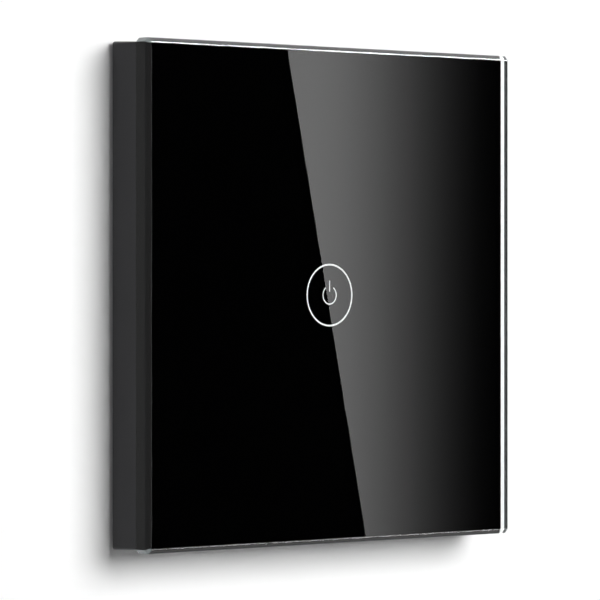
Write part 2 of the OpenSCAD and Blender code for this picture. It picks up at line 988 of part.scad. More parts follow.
module choke_core() {
    r = choke_d / 2;
    end_y = power_back_y + choke_h;
    color("#3a3a3c")
        translate([side_x, 0, can_z]) {
            turned()
                polygon([
                    [0, power_back_y],
                    [r, power_back_y],
                    [r, power_back_y + choke_flange_t],
                    [choke_core_d / 2, power_back_y + choke_flange_t],
                    [choke_core_d / 2, end_y - choke_flange_t],
                    [r, end_y - choke_flange_t],
                    [r, end_y],
                    [0, end_y]
                ]);
            legs(choke_leg_x);
        }
}

module choke_winding() {
    inner_r = choke_core_d / 2 + seat_gap;
    outer_r = choke_d / 2 - winding_step;
    color("chocolate")
        translate([side_x, 0, can_z])
            turned()
                translate([inner_r, power_back_y + choke_flange_t + seat_gap])
                    square([outer_r - inner_r, choke_h - 2 * (choke_flange_t + seat_gap)]);
}

module varistor() {
    middle_y = power_back_y + varistor_stand + varistor_d / 2;
    color("royalblue")
        translate([-side_x, 0, varistor_z]) {
            translate([-varistor_t / 2, middle_y, 0])
                rotate([0, 90, 0])
                    cylinder(h = varistor_t, d = varistor_d);
            for (s = [-1, 1])
                translate([0, 0, s * varistor_leg_z])
                    rod(power_front_y - leg_tail, middle_y, leg_d);
        }
}

module fuse() {
    front_y = power_back_y + varistor_stand;
    color("beige")
        translate([side_x, 0, varistor_z]) {
            rod(front_y, front_y + fuse_l, fuse_d - 2 * fuse_cap_step);
            rod(front_y, front_y + fuse_cap_l, fuse_d);
            rod(front_y + fuse_l - fuse_cap_l, front_y + fuse_l, fuse_d);
            rod(power_front_y - leg_tail, front_y + fuse_cap_l, leg_d);
        }
}

// Terminals

// Distance from the middle of a cell up to the leg of its contact strip
function strip_leg_z() = cell_w / 2 + block_back_wall / 2 + strip_t / 2;

module terminal_block() {
    slot_z = strip_leg_z() + strip_t / 2 + leg_gap;
    slot_w_x = strip_w + 2 * leg_gap;
    color("seagreen")
        difference() {
            union() {
                block(
                    0, (block_bottom_z + block_top_z) / 2, block_w, block_top_z - block_bottom_z,
                    power_back_y, block_back_y
                );
                block(
                    0, (block_bottom_z - housing_half) / 2, nose_w, housing_half + block_bottom_z,
                    wire_y - nose_h / 2, wire_y + nose_h / 2
                );
            }
            at_terminals() {
                block(0, 0, cell_w, cell_w, power_back_y - past, cell_back_y);
                block(0, slot_z / 2, slot_w_x, slot_z, power_back_y - past, strip_back_y + leg_gap);
                rod(cell_back_y - past, screw_seat_y + past, clamp_screw_d + 2 * shaft_gap);
                rod(screw_seat_y, block_back_y + past, clamp_head_d + 2 * shaft_gap);
                translate([0, wire_y, -(housing_half + cell_z) - past])
                    cylinder(h = housing_half + cell_z + past, d = wire_d);
            }
        }
}

module terminal_contacts() {
    front_z = -cell_w / 2 + strip_end;
    leg_z = strip_leg_z();
    end_z = leg_z + strip_t / 2;
    color("gold")
        at_terminals() {
            block(0, (front_z + end_z) / 2, strip_w, end_z - front_z, strip_front_y, strip_back_y);
            block(0, leg_z, strip_w, strip_t, power_front_y - leg_tail, strip_back_y);
        }
}

module terminal_screw(index) {
    slot_floor_y = screw_end_y - screw_slot_depth;
    color("silver")
        translate([(index - 2) * terminal_pitch, 0, cell_z])
            difference() {
                turned()
                    polygon([
                        [0, screw_tip_y],
                        [clamp_screw_d / 2, screw_tip_y],
                        [clamp_screw_d / 2, screw_head_y],
                        [clamp_head_d / 2, screw_head_y],
                        [clamp_head_d / 2, screw_end_y],
                        [0, screw_end_y]
                    ]);
                block(0, 0, clamp_head_d + past, screw_slot_w, slot_floor_y, screw_end_y + past);
            }
}

module terminal_cage(index) {
    color("lightgray")
        translate([(index - 2) * terminal_pitch, 0, cell_z])
            difference() {
                block(0, 0, cage_w, cage_w, cage_front_y, cage_back_y);
                block(0, 0, cage_w - 2 * cage_wall, cage_w + past, cage_floor_y, cage_top_y);
                rod(cage_top_y - past, cage_back_y + past, clamp_screw_d + 2 * running_gap);
            }
}

// Relay

module relay_base() {
    color("#2c2c30")
        translate([0, 0, relay_z])
            difference() {
                block(0, 0, relay_l, relay_w, power_back_y, relay_base_y);
                block(
                    fixed_strip_x + fixed_strip_t / 2, 0, fixed_strip_t + 2 * leg_gap,
                    fixed_strip_w + 2 * leg_gap, power_back_y - past, relay_base_y + past
                );
            }
}

module relay_cover() {
    color("dodgerblue")
        translate([0, 0, relay_z])
            difference() {
                block(0, 0, relay_l, relay_w, relay_base_y, relay_back_y);
                block(
                    0, 0, relay_l - 2 * relay_wall, relay_w - 2 * relay_wall,
                    relay_base_y - past, relay_back_y - relay_wall
                );
            }
}

module relay_bobbin() {
    inner_r = core_d / 2 + seat_gap;
    tube_r = inner_r + bobbin_wall;
    flange_r = bobbin_d / 2;
    end_y = pole_y - pole_t - seat_gap;
    color("ivory")
        translate([core_x, 0, relay_z])
            turned()
                polygon([
                    [inner_r, yoke_foot_y],
                    [flange_r, yoke_foot_y],
                    [flange_r, yoke_foot_y + bobbin_flange_t],
                    [tube_r, yoke_foot_y + bobbin_flange_t],
                    [tube_r, end_y - bobbin_flange_t],
                    [flange_r, end_y - bobbin_flange_t],
                    [flange_r, end_y],
                    [inner_r, end_y]
                ]);
}

module relay_winding() {
    inner_r = core_d / 2 + bobbin_wall + 2 * seat_gap;
    outer_r = bobbin_d / 2 - winding_step;
    front_y = yoke_foot_y + bobbin_flange_t + seat_gap;
    back_y = pole_y - pole_t - bobbin_flange_t - 2 * seat_gap;
    color("chocolate")
        translate([core_x, 0, relay_z])
            turned()
                translate([inner_r, front_y])
                    square([outer_r - inner_r, back_y - front_y]);
}

module relay_core() {
    color("gray")
        translate([core_x, 0, relay_z]) {
            rod(relay_base_y, pole_y, core_d);
            rod(pole_y - pole_t, pole_y, pole_d);
        }
}

module relay_yoke() {
    foot_start_x = pivot_x - yoke_t / 2;
    foot_l = core_x + pole_d / 2 - foot_start_x;
    color("silver")
        translate([0, 0, relay_z]) {
            difference() {
                block(foot_start_x + foot_l / 2, 0, foot_l, yoke_w, relay_base_y, yoke_foot_y);
                translate([core_x, 0, 0])
                    rod(relay_base_y - past, yoke_foot_y + past, core_d + 2 * seat_gap);
            }
            block(pivot_x, 0, yoke_t, yoke_w, relay_base_y, pivot_y);
            translate([pivot_x, pivot_y, 0])
                cylinder(h = yoke_w, d = yoke_t, center = true);
        }
}

module relay_fixed_contact() {
    button_y = fixed_contact_y - fixed_button_h;
    tab_start_x = contact_x - contact_d / 2;
    tab_l = fixed_strip_x + fixed_strip_t - tab_start_x;
    color("goldenrod")
        translate([0, 0, relay_z]) {
            translate([contact_x, 0, 0])
                rod(button_y - fixed_strip_t / 2, fixed_contact_y, contact_d);
            block(tab_start_x + tab_l / 2, 0, tab_l, fixed_strip_w, button_y - fixed_strip_t, button_y);
            block(
                fixed_strip_x + fixed_strip_t / 2, 0, fixed_strip_t, fixed_strip_w,
                power_front_y - leg_tail, button_y
            );
        }
}

module relay_armature() {
    start_x = pivot_x - yoke_t / 2 - armature_tail;
    end_x = core_x + pole_d / 2 + armature_reach;
    color("gray")
        translate([0, 0, relay_z])
            block(
                (start_x + end_x) / 2, 0, end_x - start_x, armature_w, armature_front_y, armature_back_y
            );
}

module relay_contact_blade() {
    start_x = pivot_x + blade_start;
    end_x = contact_x + contact_d / 2 + blade_edge;
    blade_back_y = armature_back_y + blade_t;
    color("goldenrod")
        translate([0, 0, relay_z]) {
            block((start_x + end_x) / 2, 0, end_x - start_x, blade_w, armature_back_y, blade_back_y);
            translate([contact_x, 0, 0])
                rod(contact_front_y, blade_back_y + rivet_h, contact_d);
            for (s = [-1, 1])
                translate([core_x + s * contact_d, 0, 0])
                    rod(armature_back_y, blade_back_y + rivet_h, contact_d);
        }
}

glass_panel();
back_print();
touch_icon();
adhesive_tape();
panel_frame();
mounting_plate();
panel_grommets();
rear_housing();
front_cover();
cover_screws();
light_guide();
touch_spring();
touch_board();
touch_chip();
indicator_leds();
board_socket();
board_header();
header_pins();
power_board();
board_screws();
film_capacitor();
electrolytic_capacitor();
choke_core();
choke_winding();
varistor();
fuse();
terminal_block();
terminal_contacts();
terminal_screw(1);  // terminal_screw_1
terminal_screw(2);  // terminal_screw_2
terminal_screw(3);  // terminal_screw_3
terminal_cage(1);  // terminal_cage_1
terminal_cage(2);  // terminal_cage_2
terminal_cage(3);  // terminal_cage_3
relay_base();
relay_cover();
relay_bobbin();
relay_winding();
relay_core();
relay_yoke();
relay_fixed_contact();
relay_armature();
relay_contact_blade();
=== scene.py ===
"""Looks of a touch light switch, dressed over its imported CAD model.

The frame is the CAD model: X runs right, Y into the wall and Z up, in metres. The glass and two
wire coils are modelled here, the other parts keep their CAD shapes with softened edges, and every
part gets its finish. The wall, the lights and the camera follow the photograph.
"""
from __future__ import annotations

import logging
import math
from dataclasses import dataclass
from enum import Enum
from functools import cached_property, lru_cache
from typing import Any, Callable, Mapping, Sequence, Union

import bpy
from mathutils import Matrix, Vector

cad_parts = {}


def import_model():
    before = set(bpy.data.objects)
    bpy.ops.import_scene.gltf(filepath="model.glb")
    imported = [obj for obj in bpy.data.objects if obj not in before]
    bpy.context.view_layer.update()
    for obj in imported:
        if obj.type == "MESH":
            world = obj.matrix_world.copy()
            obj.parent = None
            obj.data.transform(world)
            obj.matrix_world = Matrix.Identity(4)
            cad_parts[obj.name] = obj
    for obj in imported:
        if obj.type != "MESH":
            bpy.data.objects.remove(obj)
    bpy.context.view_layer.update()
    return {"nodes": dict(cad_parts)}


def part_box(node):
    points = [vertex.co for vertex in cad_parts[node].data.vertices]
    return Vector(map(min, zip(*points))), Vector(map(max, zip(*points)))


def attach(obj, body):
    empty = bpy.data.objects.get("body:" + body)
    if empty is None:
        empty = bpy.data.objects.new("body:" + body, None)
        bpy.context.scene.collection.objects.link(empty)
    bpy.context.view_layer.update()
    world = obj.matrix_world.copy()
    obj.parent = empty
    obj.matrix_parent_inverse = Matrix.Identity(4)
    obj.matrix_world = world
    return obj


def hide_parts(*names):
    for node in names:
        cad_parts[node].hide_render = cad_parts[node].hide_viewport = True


LOG = logging.getLogger("touch_switch")
MM = 0.001
# Difference below which two lengths are the same
SAME = 0.002 * MM
Colour = tuple[float, float, float]
Plug = Union["Wire", float, Sequence[float]]


class Axis(Enum):
    """Axis of the frame, by its place in a vector."""

    X = 0
    Y = 1
    Z = 2


class Wire:
    """An output socket that takes part in Python expressions on values."""

    def __init__(self, graph: Graph, socket: bpy.types.NodeSocket) -> None:
        """Hold a socket and the graph that it belongs to."""
        self.graph = graph
        self.socket = socket

    def _math(self, operation: str, first: Plug, second: Plug) -> Wire:
        """Add one Math node and return its result."""
        return self.graph.add("ShaderNodeMath", {"operation": operation}, {0: first, 1: second})

    def __add__(self, other: Plug) -> Wire:
        """Return self + other."""
        return self._math("ADD", self, other)

    def __radd__(self, other: Plug) -> Wire:
        """Return other + self."""
        return self._math("ADD", other, self)

    def __sub__(self, other: Plug) -> Wire:
        """Return self - other."""
        return self._math("SUBTRACT", self, other)

    def __rsub__(self, other: Plug) -> Wire:
        """Return other - self."""
        return self._math("SUBTRACT", other, self)

    def __mul__(self, other: Plug) -> Wire:
        """Return self * other."""
        return self._math("MULTIPLY", self, other)

    def __rmul__(self, other: Plug) -> Wire:
        """Return other * self."""
        return self._math("MULTIPLY", other, self)

    def __pow__(self, other: Plug) -> Wire:
        """Return self to the power of other."""
        return self._math("POWER", self, other)

    def __gt__(self, other: Plug) -> Wire:
        """Return 1 where self is above other, else 0."""
        return self._math("GREATER_THAN", self, other)

    def wave(self, period: float) -> Wire:
        """Return a sine wave from 0 to 1 that repeats with a period of self."""
        return 0.5 + 0.5 * self._math("SINE", self * (math.tau / period), 0.0)


class Graph:
    """A node tree, filled through one method."""

    def __init__(self, tree: bpy.types.NodeTree) -> None:
        """Empty the tree of a material or of the world, and hold it."""
        tree.nodes.clear()
        self.tree = tree

    def node(
        self,
        kind: str,
        settings: Mapping[str, Any] | None = None,
        inputs: Mapping[Any, Plug] | None = None,
    ) -> bpy.types.Node:
        """Add a node, set it up and plug in its sockets.

        Args:
            kind: Blender's name of the node's type.
            settings: Values of the node itself, set first; "stops" fills a colour ramp.
            inputs: Values or wires by the name or number of the socket.

        Returns:
            The node.
        """
        node = self.tree.nodes.new(kind)
        for key, value in (settings or {}).items():
            if key == "stops":
                self._set_stops(node.color_ramp, value)
            else:
                setattr(node, key, value)
        for key, value in (inputs or {}).items():
            if isinstance(value, Wire):
                self.tree.links.new(value.socket, node.inputs[key])
            else:
                node.inputs[key].default_value = value
        return node

    def add(
        self,
        kind: str,
        settings: Mapping[str, Any] | None = None,
        inputs: Mapping[Any, Plug] | None = None,
        out: int | str = 0,
    ) -> Wire:
        """Add a node and return the wire from one of its outputs.

        Args:
            kind: Blender's name of the node's type.
            settings: Values of the node itself.
            inputs: Values or wires by the name or number of the socket.
            out: Name or number of the output.

        Returns:
            The wire from that output.
        """
        return Wire(self, self.node(kind, settings, inputs).outputs[out])

    @staticmethod
    def _set_stops(ramp: bpy.types.ColorRamp, stops: Sequence[tuple[float, float]]) -> None:
        """Give a ramp its stops.

        Args:
            ramp: The ramp of a node.
            stops: Position and grey of each stop.
        """
        while len(ramp.elements) < len(stops):
            ramp.elements.new(1.0)
        for element, (position, grey) in zip(ramp.elements, stops):
            element.position = position
            element.color = (grey, grey, grey, 1.0)

    def end(self, shader: Wire, kind: str = "ShaderNodeOutputMaterial") -> None:
        """Join a shader to the tree's output node."""
        self.node(kind, inputs={"Surface": shader})

    @cached_property
    def place(self) -> Wire:
        """Object coordinates, from one node."""
        return self.add("ShaderNodeTexCoord", out="Object")

    def axes(self, vector: Wire) -> tuple[Wire, Wire, Wire]:
        """Split a vector into its three values."""
        x, y, z = self.node("ShaderNodeSeparateXYZ", inputs={"Vector": vector}).outputs
        return Wire(self, x), Wire(self, y), Wire(self, z)

    def along(self, axis: Axis) -> Wire:
        """Return the place along one axis."""
        return self.axes(self.place)[axis.value]

    def radius(self) -> Wire:
        """Return the distance from the Y axis."""
        x, _, z = self.axes(self.place)
        return (x * x + z * z) ** 0.5

    def rays(self, *kinds: str) -> list[Wire]:
        """Return a wire for each kind of ray, 1 for such rays and else 0."""
        path = self.node("ShaderNodeLightPath").outputs
        return [Wire(self, path[f"Is {kind} Ray"]) for kind in kinds]

    def stretched(self, scale: Sequence[float]) -> Wire:
        """Return the object coordinates, scaled along each axis."""
        return self.add("ShaderNodeMapping", inputs={"Vector": self.place, "Scale": scale})

    def noise(self, size: float, detail: float = 2.0, place: Wire | None = None) -> Wire:
        """Return noise from 0 to 1.

        Args:
            size: Size of the grains in metres.
            detail: Number of finer layers.
            place: Coordinates, if not the object's own.

        Returns:
            The noise value.
        """
        inputs = {"Vector": place or self.place, "Scale": 1.0 / size, "Detail": detail}
        return self.add("ShaderNodeTexNoise", inputs=inputs)

    def cells(self, size: float) -> Wire:
        """Return the distance to the nearest of scattered points."""
        inputs = {"Vector": self.place, "Scale": 1.0 / size}
        return self.add("ShaderNodeTexVoronoi", inputs=inputs)

    def ramp(self, value: Wire, *stops: tuple[float, float]) -> Wire:
        """Map a value to greys between stops."""
        return self.add("ShaderNodeValToRGB", {"stops": stops}, {"Fac": value})

    def blend(self, factor: Plug, first: Plug, second: Plug) -> Wire:
        """Mix two colours."""
        inputs = {0: factor, 6: opaque(first), 7: opaque(second)}
        return self.add("ShaderNodeMix", {"data_type": "RGBA"}, inputs, out=2)

    def bump(self, height: Wire, strength: float, depth: float) -> Wire:
        """Return a normal that is tilted by a height.

        Args:
            height: Height from 0 to 1.
            strength: Share of the tilt that is kept.
            depth: Real depth of the relief in metres.

        Returns:
            The normal.
        """
        inputs = {"Height": height, "Strength": strength, "Distance": depth}
        return self.add("ShaderNodeBump", inputs=inputs)

    def principled(self, sockets: Mapping[str, Plug]) -> Wire:
        """Add the main shader with values or wires in its named sockets."""
        inputs = {name: opaque(value) for name, value in sockets.items()}
        return self.add("ShaderNodeBsdfPrincipled", inputs=inputs)

    def glow(self, strength: Plug) -> Wire:
        """Add a shader that gives white light."""
        return self.add("ShaderNodeEmission", inputs={"Strength": strength})

    def mix(self, factor: Wire, first: Wire, second: Wire) -> Wire:
        """Mix two shaders."""
        return self.add("ShaderNodeMixShader", inputs={0: factor, 1: first, 2: second})


def opaque(value: Plug) -> Plug:
    """Give a plain colour its alpha, and leave anything else as it is.

    Args:
        value: A colour, or any other value of a socket.

    Returns:
        The colour with its alpha, or the value.
    """
    if isinstance(value, tuple) and len(value) == 3:
        return (*value, 1.0)
    return value


class Grain(Enum):
    """Way in which a metal was worked."""

    BRUSHED = "brushed"
    TURNED = "turned"
    WOUND = "wound"


@dataclass(frozen=True)
class Finish:
    """What every finish has.

    Attributes:
        name: Name of the material.
        colour: Base colour, linear.
        roughness: Roughness, before what its uneven places add.
        spread: Roughness that the uneven places add.
        dim: Share of the colour that its darkest places keep.
        relief: Depth of the fine relief in metres.
        tilt: Share of that relief's tilt that is kept.
    """

    name: str
    colour: Colour
    roughness: float = 0.5
    spread: float = 0.1
    dim: float = 0.9
    relief: float = 0.0
    tilt: float = 0.4

    def sockets(self, graph: Graph) -> dict[str, Plug]:
        """Return what goes into the main shader; each kind of finish has its own."""
        raise NotImplementedError

    def scaled(self, share: float) -> Colour:
        """Return the colour times a share, no brighter than white."""
        red, green, blue = (min(share * c, 1.0) for c in self.colour)
        return red, green, blue

    def tinted(self, graph: Graph, factor: Wire) -> Wire:
        """Return the colour, dimmed where a factor is low."""
        return graph.blend(factor, self.scaled(self.dim), self.colour)

    def normal(self, graph: Graph, height: Wire) -> Wire:
        """Return the normal of the surface with its relief."""
        return graph.bump(height, self.tilt, self.relief)


@dataclass(frozen=True)
class Moulding(Finish):
    """Moulded plastic with a fine grain and a faint mottle.

    Attributes:
        grain: Size of the grain in metres.
        grain_spread: Roughness that the grain adds.
        patch: Size of the mottle's patches in metres.
        mottle: Share by which the colour varies.
        polish: Roughness taken off, so that the mean stays.
        coat: Weight of a glossy skin.
        gloss: Level of the plain reflection.
    """

    relief: float = 0.006 * MM
    tilt: float = 0.5
    grain: float = 0.16 * MM
    grain_spread: float = 0.06
    patch: float = 7 * MM
    mottle: float = 0.1
    polish: float = 0.08
    coat: float = 0.0
    gloss: float = 0.5

    def sockets(self, graph: Graph) -> dict[str, Plug]:
        """Return the sockets of a mottled plastic.

        Args:
            graph: Graph of the material.

        Returns:
            Values or wires by the name of the socket.
        """
        fine = graph.noise(self.grain, detail=3.0)
        broad = graph.noise(self.patch, detail=4.0)
        deep, pale = self.scaled(1 - self.mottle), self.scaled(1 + self.mottle)
        uneven = self.spread * broad + self.grain_spread * fine
        return {
            "Base Color": graph.blend(broad, deep, pale),
            "Roughness": self.roughness - self.polish + uneven,
            "Specular IOR Level": self.gloss,
            "Coat Weight": self.coat,
            "Coat Roughness": 0.12,
            "Normal": self.normal(graph, fine),
        }


@dataclass(frozen=True)
class Leaded(Moulding):
    """A moulding with bare metal on both sides of it: legs, leads, caps or a can's top.

    Attributes:
        axis: Axis along which the metal follows the moulding.
        start: Plane at which the moulding begins.
        end: Plane at which it ends.
        tin: Colour of the metal.
    """

    axis: Axis = Axis.Y
    start: float = -1.0
    end: float = 1.0
    tin: Colour = (0.62, 0.62, 0.6)

    def sockets(self, graph: Graph) -> dict[str, Plug]:
        """Return the moulding's sockets, with metal where it is bare.

        Args:
            graph: Graph of the material.

        Returns:
            Values or wires by the name of the socket.
        """
        sockets = super().sockets(graph)
        along = graph.along(self.axis)
        bare = 1 - (along > self.start) + (along > self.end)
        sockets["Base Color"] = graph.blend(bare, sockets["Base Color"], self.tin)
        sockets["Metallic"] = bare
        if self.coat > 0:
            sockets["Coat Weight"] = self.coat * (1 - bare)
        return sockets


@dataclass(frozen=True)
class Metal(Finish):
    """Plated or bare metal with the marks of its making.

    Attributes:
        worked: How the metal was worked.
        step: Width of one mark in metres.
        mark_spread: Roughness that the marks add.
        stroke: Scale of brushed marks along each axis.
        patch: Size of the dull patches in metres.
        polish: Roughness taken off before the rest adds to it.
    """

    spread: float = 0.14
    dim: float = 0.78
    relief: float = 0.01 * MM
    tilt: float = 0.35
    worked: Grain = Grain.BRUSHED
    step: float = 0.12 * MM
    mark_spread: float = 0.08
    stroke: tuple[float, float, float] = (0.02, 1.0, 1.0)
    patch: float = 5 * MM
    polish: float = 0.1

    def _marks(self, graph: Graph) -> Wire:
        """Return the height of the tool marks.

        Args:
            graph: Graph of the material.

        Returns:
            The height from 0 to 1.
        """
        if self.worked is Grain.TURNED:
            return graph.radius().wave(self.step)
        if self.worked is Grain.WOUND:
            return graph.along(Axis.Y).wave(self.step)
        return graph.noise(self.step, 3.0, graph.stretched(self.stroke))

    def sockets(self, graph: Graph) -> dict[str, Plug]:
        """Return the sockets of a worked metal.

        Args:
            graph: Graph of the material.

        Returns:
            Values or wires by the name of the socket.
        """
        marks = self._marks(graph)
        bloom = graph.noise(self.patch, detail=4.0)
        uneven = self.spread * bloom + self.mark_spread * marks
        return {
            "Base Color": self.tinted(graph, bloom),
            "Metallic": 1.0,
            "Roughness": self.roughness - self.polish + uneven,
            "Normal": self.normal(graph, marks),
        }


@dataclass(frozen=True)
class PolishedGlass(Finish):
    """Clear glass, polished, with faint wiping marks.

    Attributes:
        index: Refractive index.
        wipe: Width of a wiping mark in metres.
        stroke: Scale of the marks along each axis.
    """

    spread: float = 0.012
    index: float = 1.49
    wipe: float = 9 * MM
    stroke: tuple[float, float, float] = (0.3, 1.0, 1.0)

    def sockets(self, graph: Graph) -> dict[str, Plug]:
        """Return the sockets of a clear glass.

        Args:
            graph: Graph of the material.

        Returns:
            Values or wires by the name of the socket.
        """
        streaks = graph.noise(self.wipe, 5.0, graph.stretched(self.stroke))
        wiped = graph.ramp(streaks, (0.5, 0.0), (0.9, 1.0))
        return {
            "Base Color": self.colour,
            "Roughness": self.roughness + self.spread * wiped,
            "IOR": self.index,
            "Transmission Weight": 1.0,
        }


@dataclass(frozen=True)
class GroundGlass(Finish):
    """Glass edge left ground: fine, pale and matt.

    Attributes:
        grit: Size of the grinding marks in metres.
    """

    dim: float = 0.85
    relief: float = 0.004 * MM
    grit: float = 0.05 * MM

    def sockets(self, graph: Graph) -> dict[str, Plug]:
        """Return the sockets of a ground edge.

        Args:
            graph: Graph of the material.

        Returns:
            Values or wires by the name of the socket.
        """
        grit = graph.noise(self.grit)
        return {
            "Base Color": self.tinted(graph, grit),
            "Roughness": self.roughness + self.spread * grit,
            "Normal": self.normal(graph, grit),
        }


@dataclass(frozen=True)
class Ink(Finish):
    """Black print whose front lies in the glass, with a silky back.

    Attributes:
        back_y: Plane past which the back of the print begins.
        back_coat: Weight of the glossy skin there.
        dust: Size of the specks in metres.
    """

    dim: float = 0.5
    back_y: float = 0.0
    back_coat: float = 0.5
    dust: float = 0.3 * MM

    def sockets(self, graph: Graph) -> dict[str, Plug]:
        """Return the sockets of an ink with no gloss of its own in front.

        Args:
            graph: Graph of the material.

        Returns:
            Values or wires by the name of the socket.
        """
        back = graph.along(Axis.Y) > self.back_y
        return {
            "Base Color": self.tinted(graph, graph.noise(self.dust)),
            "Roughness": self.roughness,
            "Specular IOR Level": 0.0,
            "Coat Weight": self.back_coat * back,
            "Coat Roughness": 0.35,
        }


@dataclass(frozen=True)
class PaintedGlowPrint(Finish):
    """White print that a lamp lights from behind.

    Attributes:
        symbol_reach: Radius that takes in the symbol but not the ring.
        symbol_glow: Share of the ring's painted glow that the symbol has.
        glow: Strength of the painted glow.
        grain: Size of the print's grain in metres.
        uneven: Share by which the grain varies the painted glow.
        no_glow: Colour of the painted glow where its level is 0.
    """

    symbol_reach: float = 3.5 * MM
    symbol_glow: float = 0.65
    glow: float = 0.38
    grain: float = 0.06 * MM
    uneven: float = 0.08
    no_glow: Colour = (0.0, 0.0, 0.0)

    def sockets(self, graph: Graph) -> dict[str, Plug]:
        """Return the sockets of a print with a painted glow.

        Args:
            graph: Graph of the material.

        Returns:
            Values or wires by the name of the socket.
        """
        ring = graph.radius() > self.symbol_reach
        grain = graph.noise(self.grain)
        # Painted light: the emission stands in for light on the print, dimmer on the symbol than
        # on the ring
        level = self.symbol_glow + (1 - self.symbol_glow) * ring
        level = level * (1 - self.uneven / 2 + self.uneven * grain)
        return {
            "Base Color": self.tinted(graph, grain),
            "Roughness": self.roughness,
            "Specular IOR Level": 0.0,
            "Emission Color": graph.blend(level, self.no_glow, self.colour),
            "Emission Strength": self.glow,
        }


@dataclass(frozen=True)
class Foam(Finish):
    """Closed-cell foam or soft rubber.

    Attributes:
        cell: Size of a cell in metres.
        patch: Size of the dark patches in metres.
    """

    dim: float = 0.7
    relief: float = 0.03 * MM
    tilt: float = 0.5
    cell: float = 0.25 * MM
    patch: float = 3 * MM

    def sockets(self, graph: Graph) -> dict[str, Plug]:
        """Return the sockets of a matt foam with small cells.

        Args:
            graph: Graph of the material.

        Returns:
            Values or wires by the name of the socket.
        """
        broad = graph.noise(self.patch, detail=3.0)
        return {
            "Base Color": self.tinted(graph, broad),
            "Roughness": self.roughness + self.spread * broad,
            "Normal": self.normal(graph, graph.cells(self.cell)),
        }


@dataclass(frozen=True)
class Laminate(Finish):
    """Circuit board with tracks under a solder mask.

    Attributes:
        track: Spacing of the tracks in metres.
        gap: Share of that spacing's wave that is left clear.
        patch: Size of the fields in which the tracks run one way, in metres.
        weave: Size of the glass weave in metres.
        shine: Share by which copper shows through the mask.
        over_copper: Colour of the mask over copper.
    """

    relief: float = 0.03 * MM
    track: float = 1.27 * MM
    gap: float = 0.62
    patch: float = 6 * MM
    weave: float = 0.4 * MM
    shine: float = 0.8
    over_copper: Colour = (0.048, 0.257, 0.124)

    def sockets(self, graph: Graph) -> dict[str, Plug]:
        """Return the sockets of a board with its tracks.

        Args:
            graph: Graph of the material.

        Returns:
            Values or wires by the name of the socket.
        """
        x, _, z = graph.axes(graph.place)
        across = graph.noise(self.patch, detail=0.0) > 0.5
        run = (z.wave(self.track) * across + x.wave(self.track) * (1 - across)) > self.gap
        weave = graph.noise(self.weave)
        return {
            "Base Color": graph.blend(run * self.shine, self.colour, self.over_copper),
            "Roughness": self.roughness + self.spread * weave,
            "Coat Weight": 0.4,
            "Coat Roughness": 0.15,
            "Normal": self.normal(graph, run),
        }


@dataclass(frozen=True)
class MilkyClear(Finish):
    """Clear plastic with a little haze.

    Attributes:
        clarity: Share of light that goes through.
        index: Refractive index.
        haze: Size of the hazy patches in metres.
    """

    spread: float = 0.15
    clarity: float = 0.6
    index: float = 1.49
    haze: float = 0.6 * MM

    def sockets(self, graph: Graph) -> dict[str, Plug]:
        """Return the sockets of a hazy plastic.

        Args:
            graph: Graph of the material.

        Returns:
            Values or wires by the name of the socket.
        """
        haze = graph.noise(self.haze, detail=3.0)
        return {
            "Base Color": self.tinted(graph, haze),
            "Roughness": self.roughness + self.spread * haze,
            "Transmission Weight": self.clarity,
            "IOR": self.index,
        }


def new_material(name: str) -> tuple[bpy.types.Material, Graph]:
    """Make an empty material.

    Args:
        name: Name of the material.

    Returns:
        The material and the graph that fills it.
    """
    material = bpy.data.materials.new(name)
    material.use_nodes = True
    return material, Graph(material.node_tree)


@lru_cache(maxsize=None)
def material_of(finish: Finish) -> bpy.types.Material:
    """Make a finish's material, once.

    Args:
        finish: The finish to build.

    Returns:
        The material.
    """
    material, graph = new_material(finish.name)
    graph.end(graph.principled(finish.sockets(graph)))
    return material


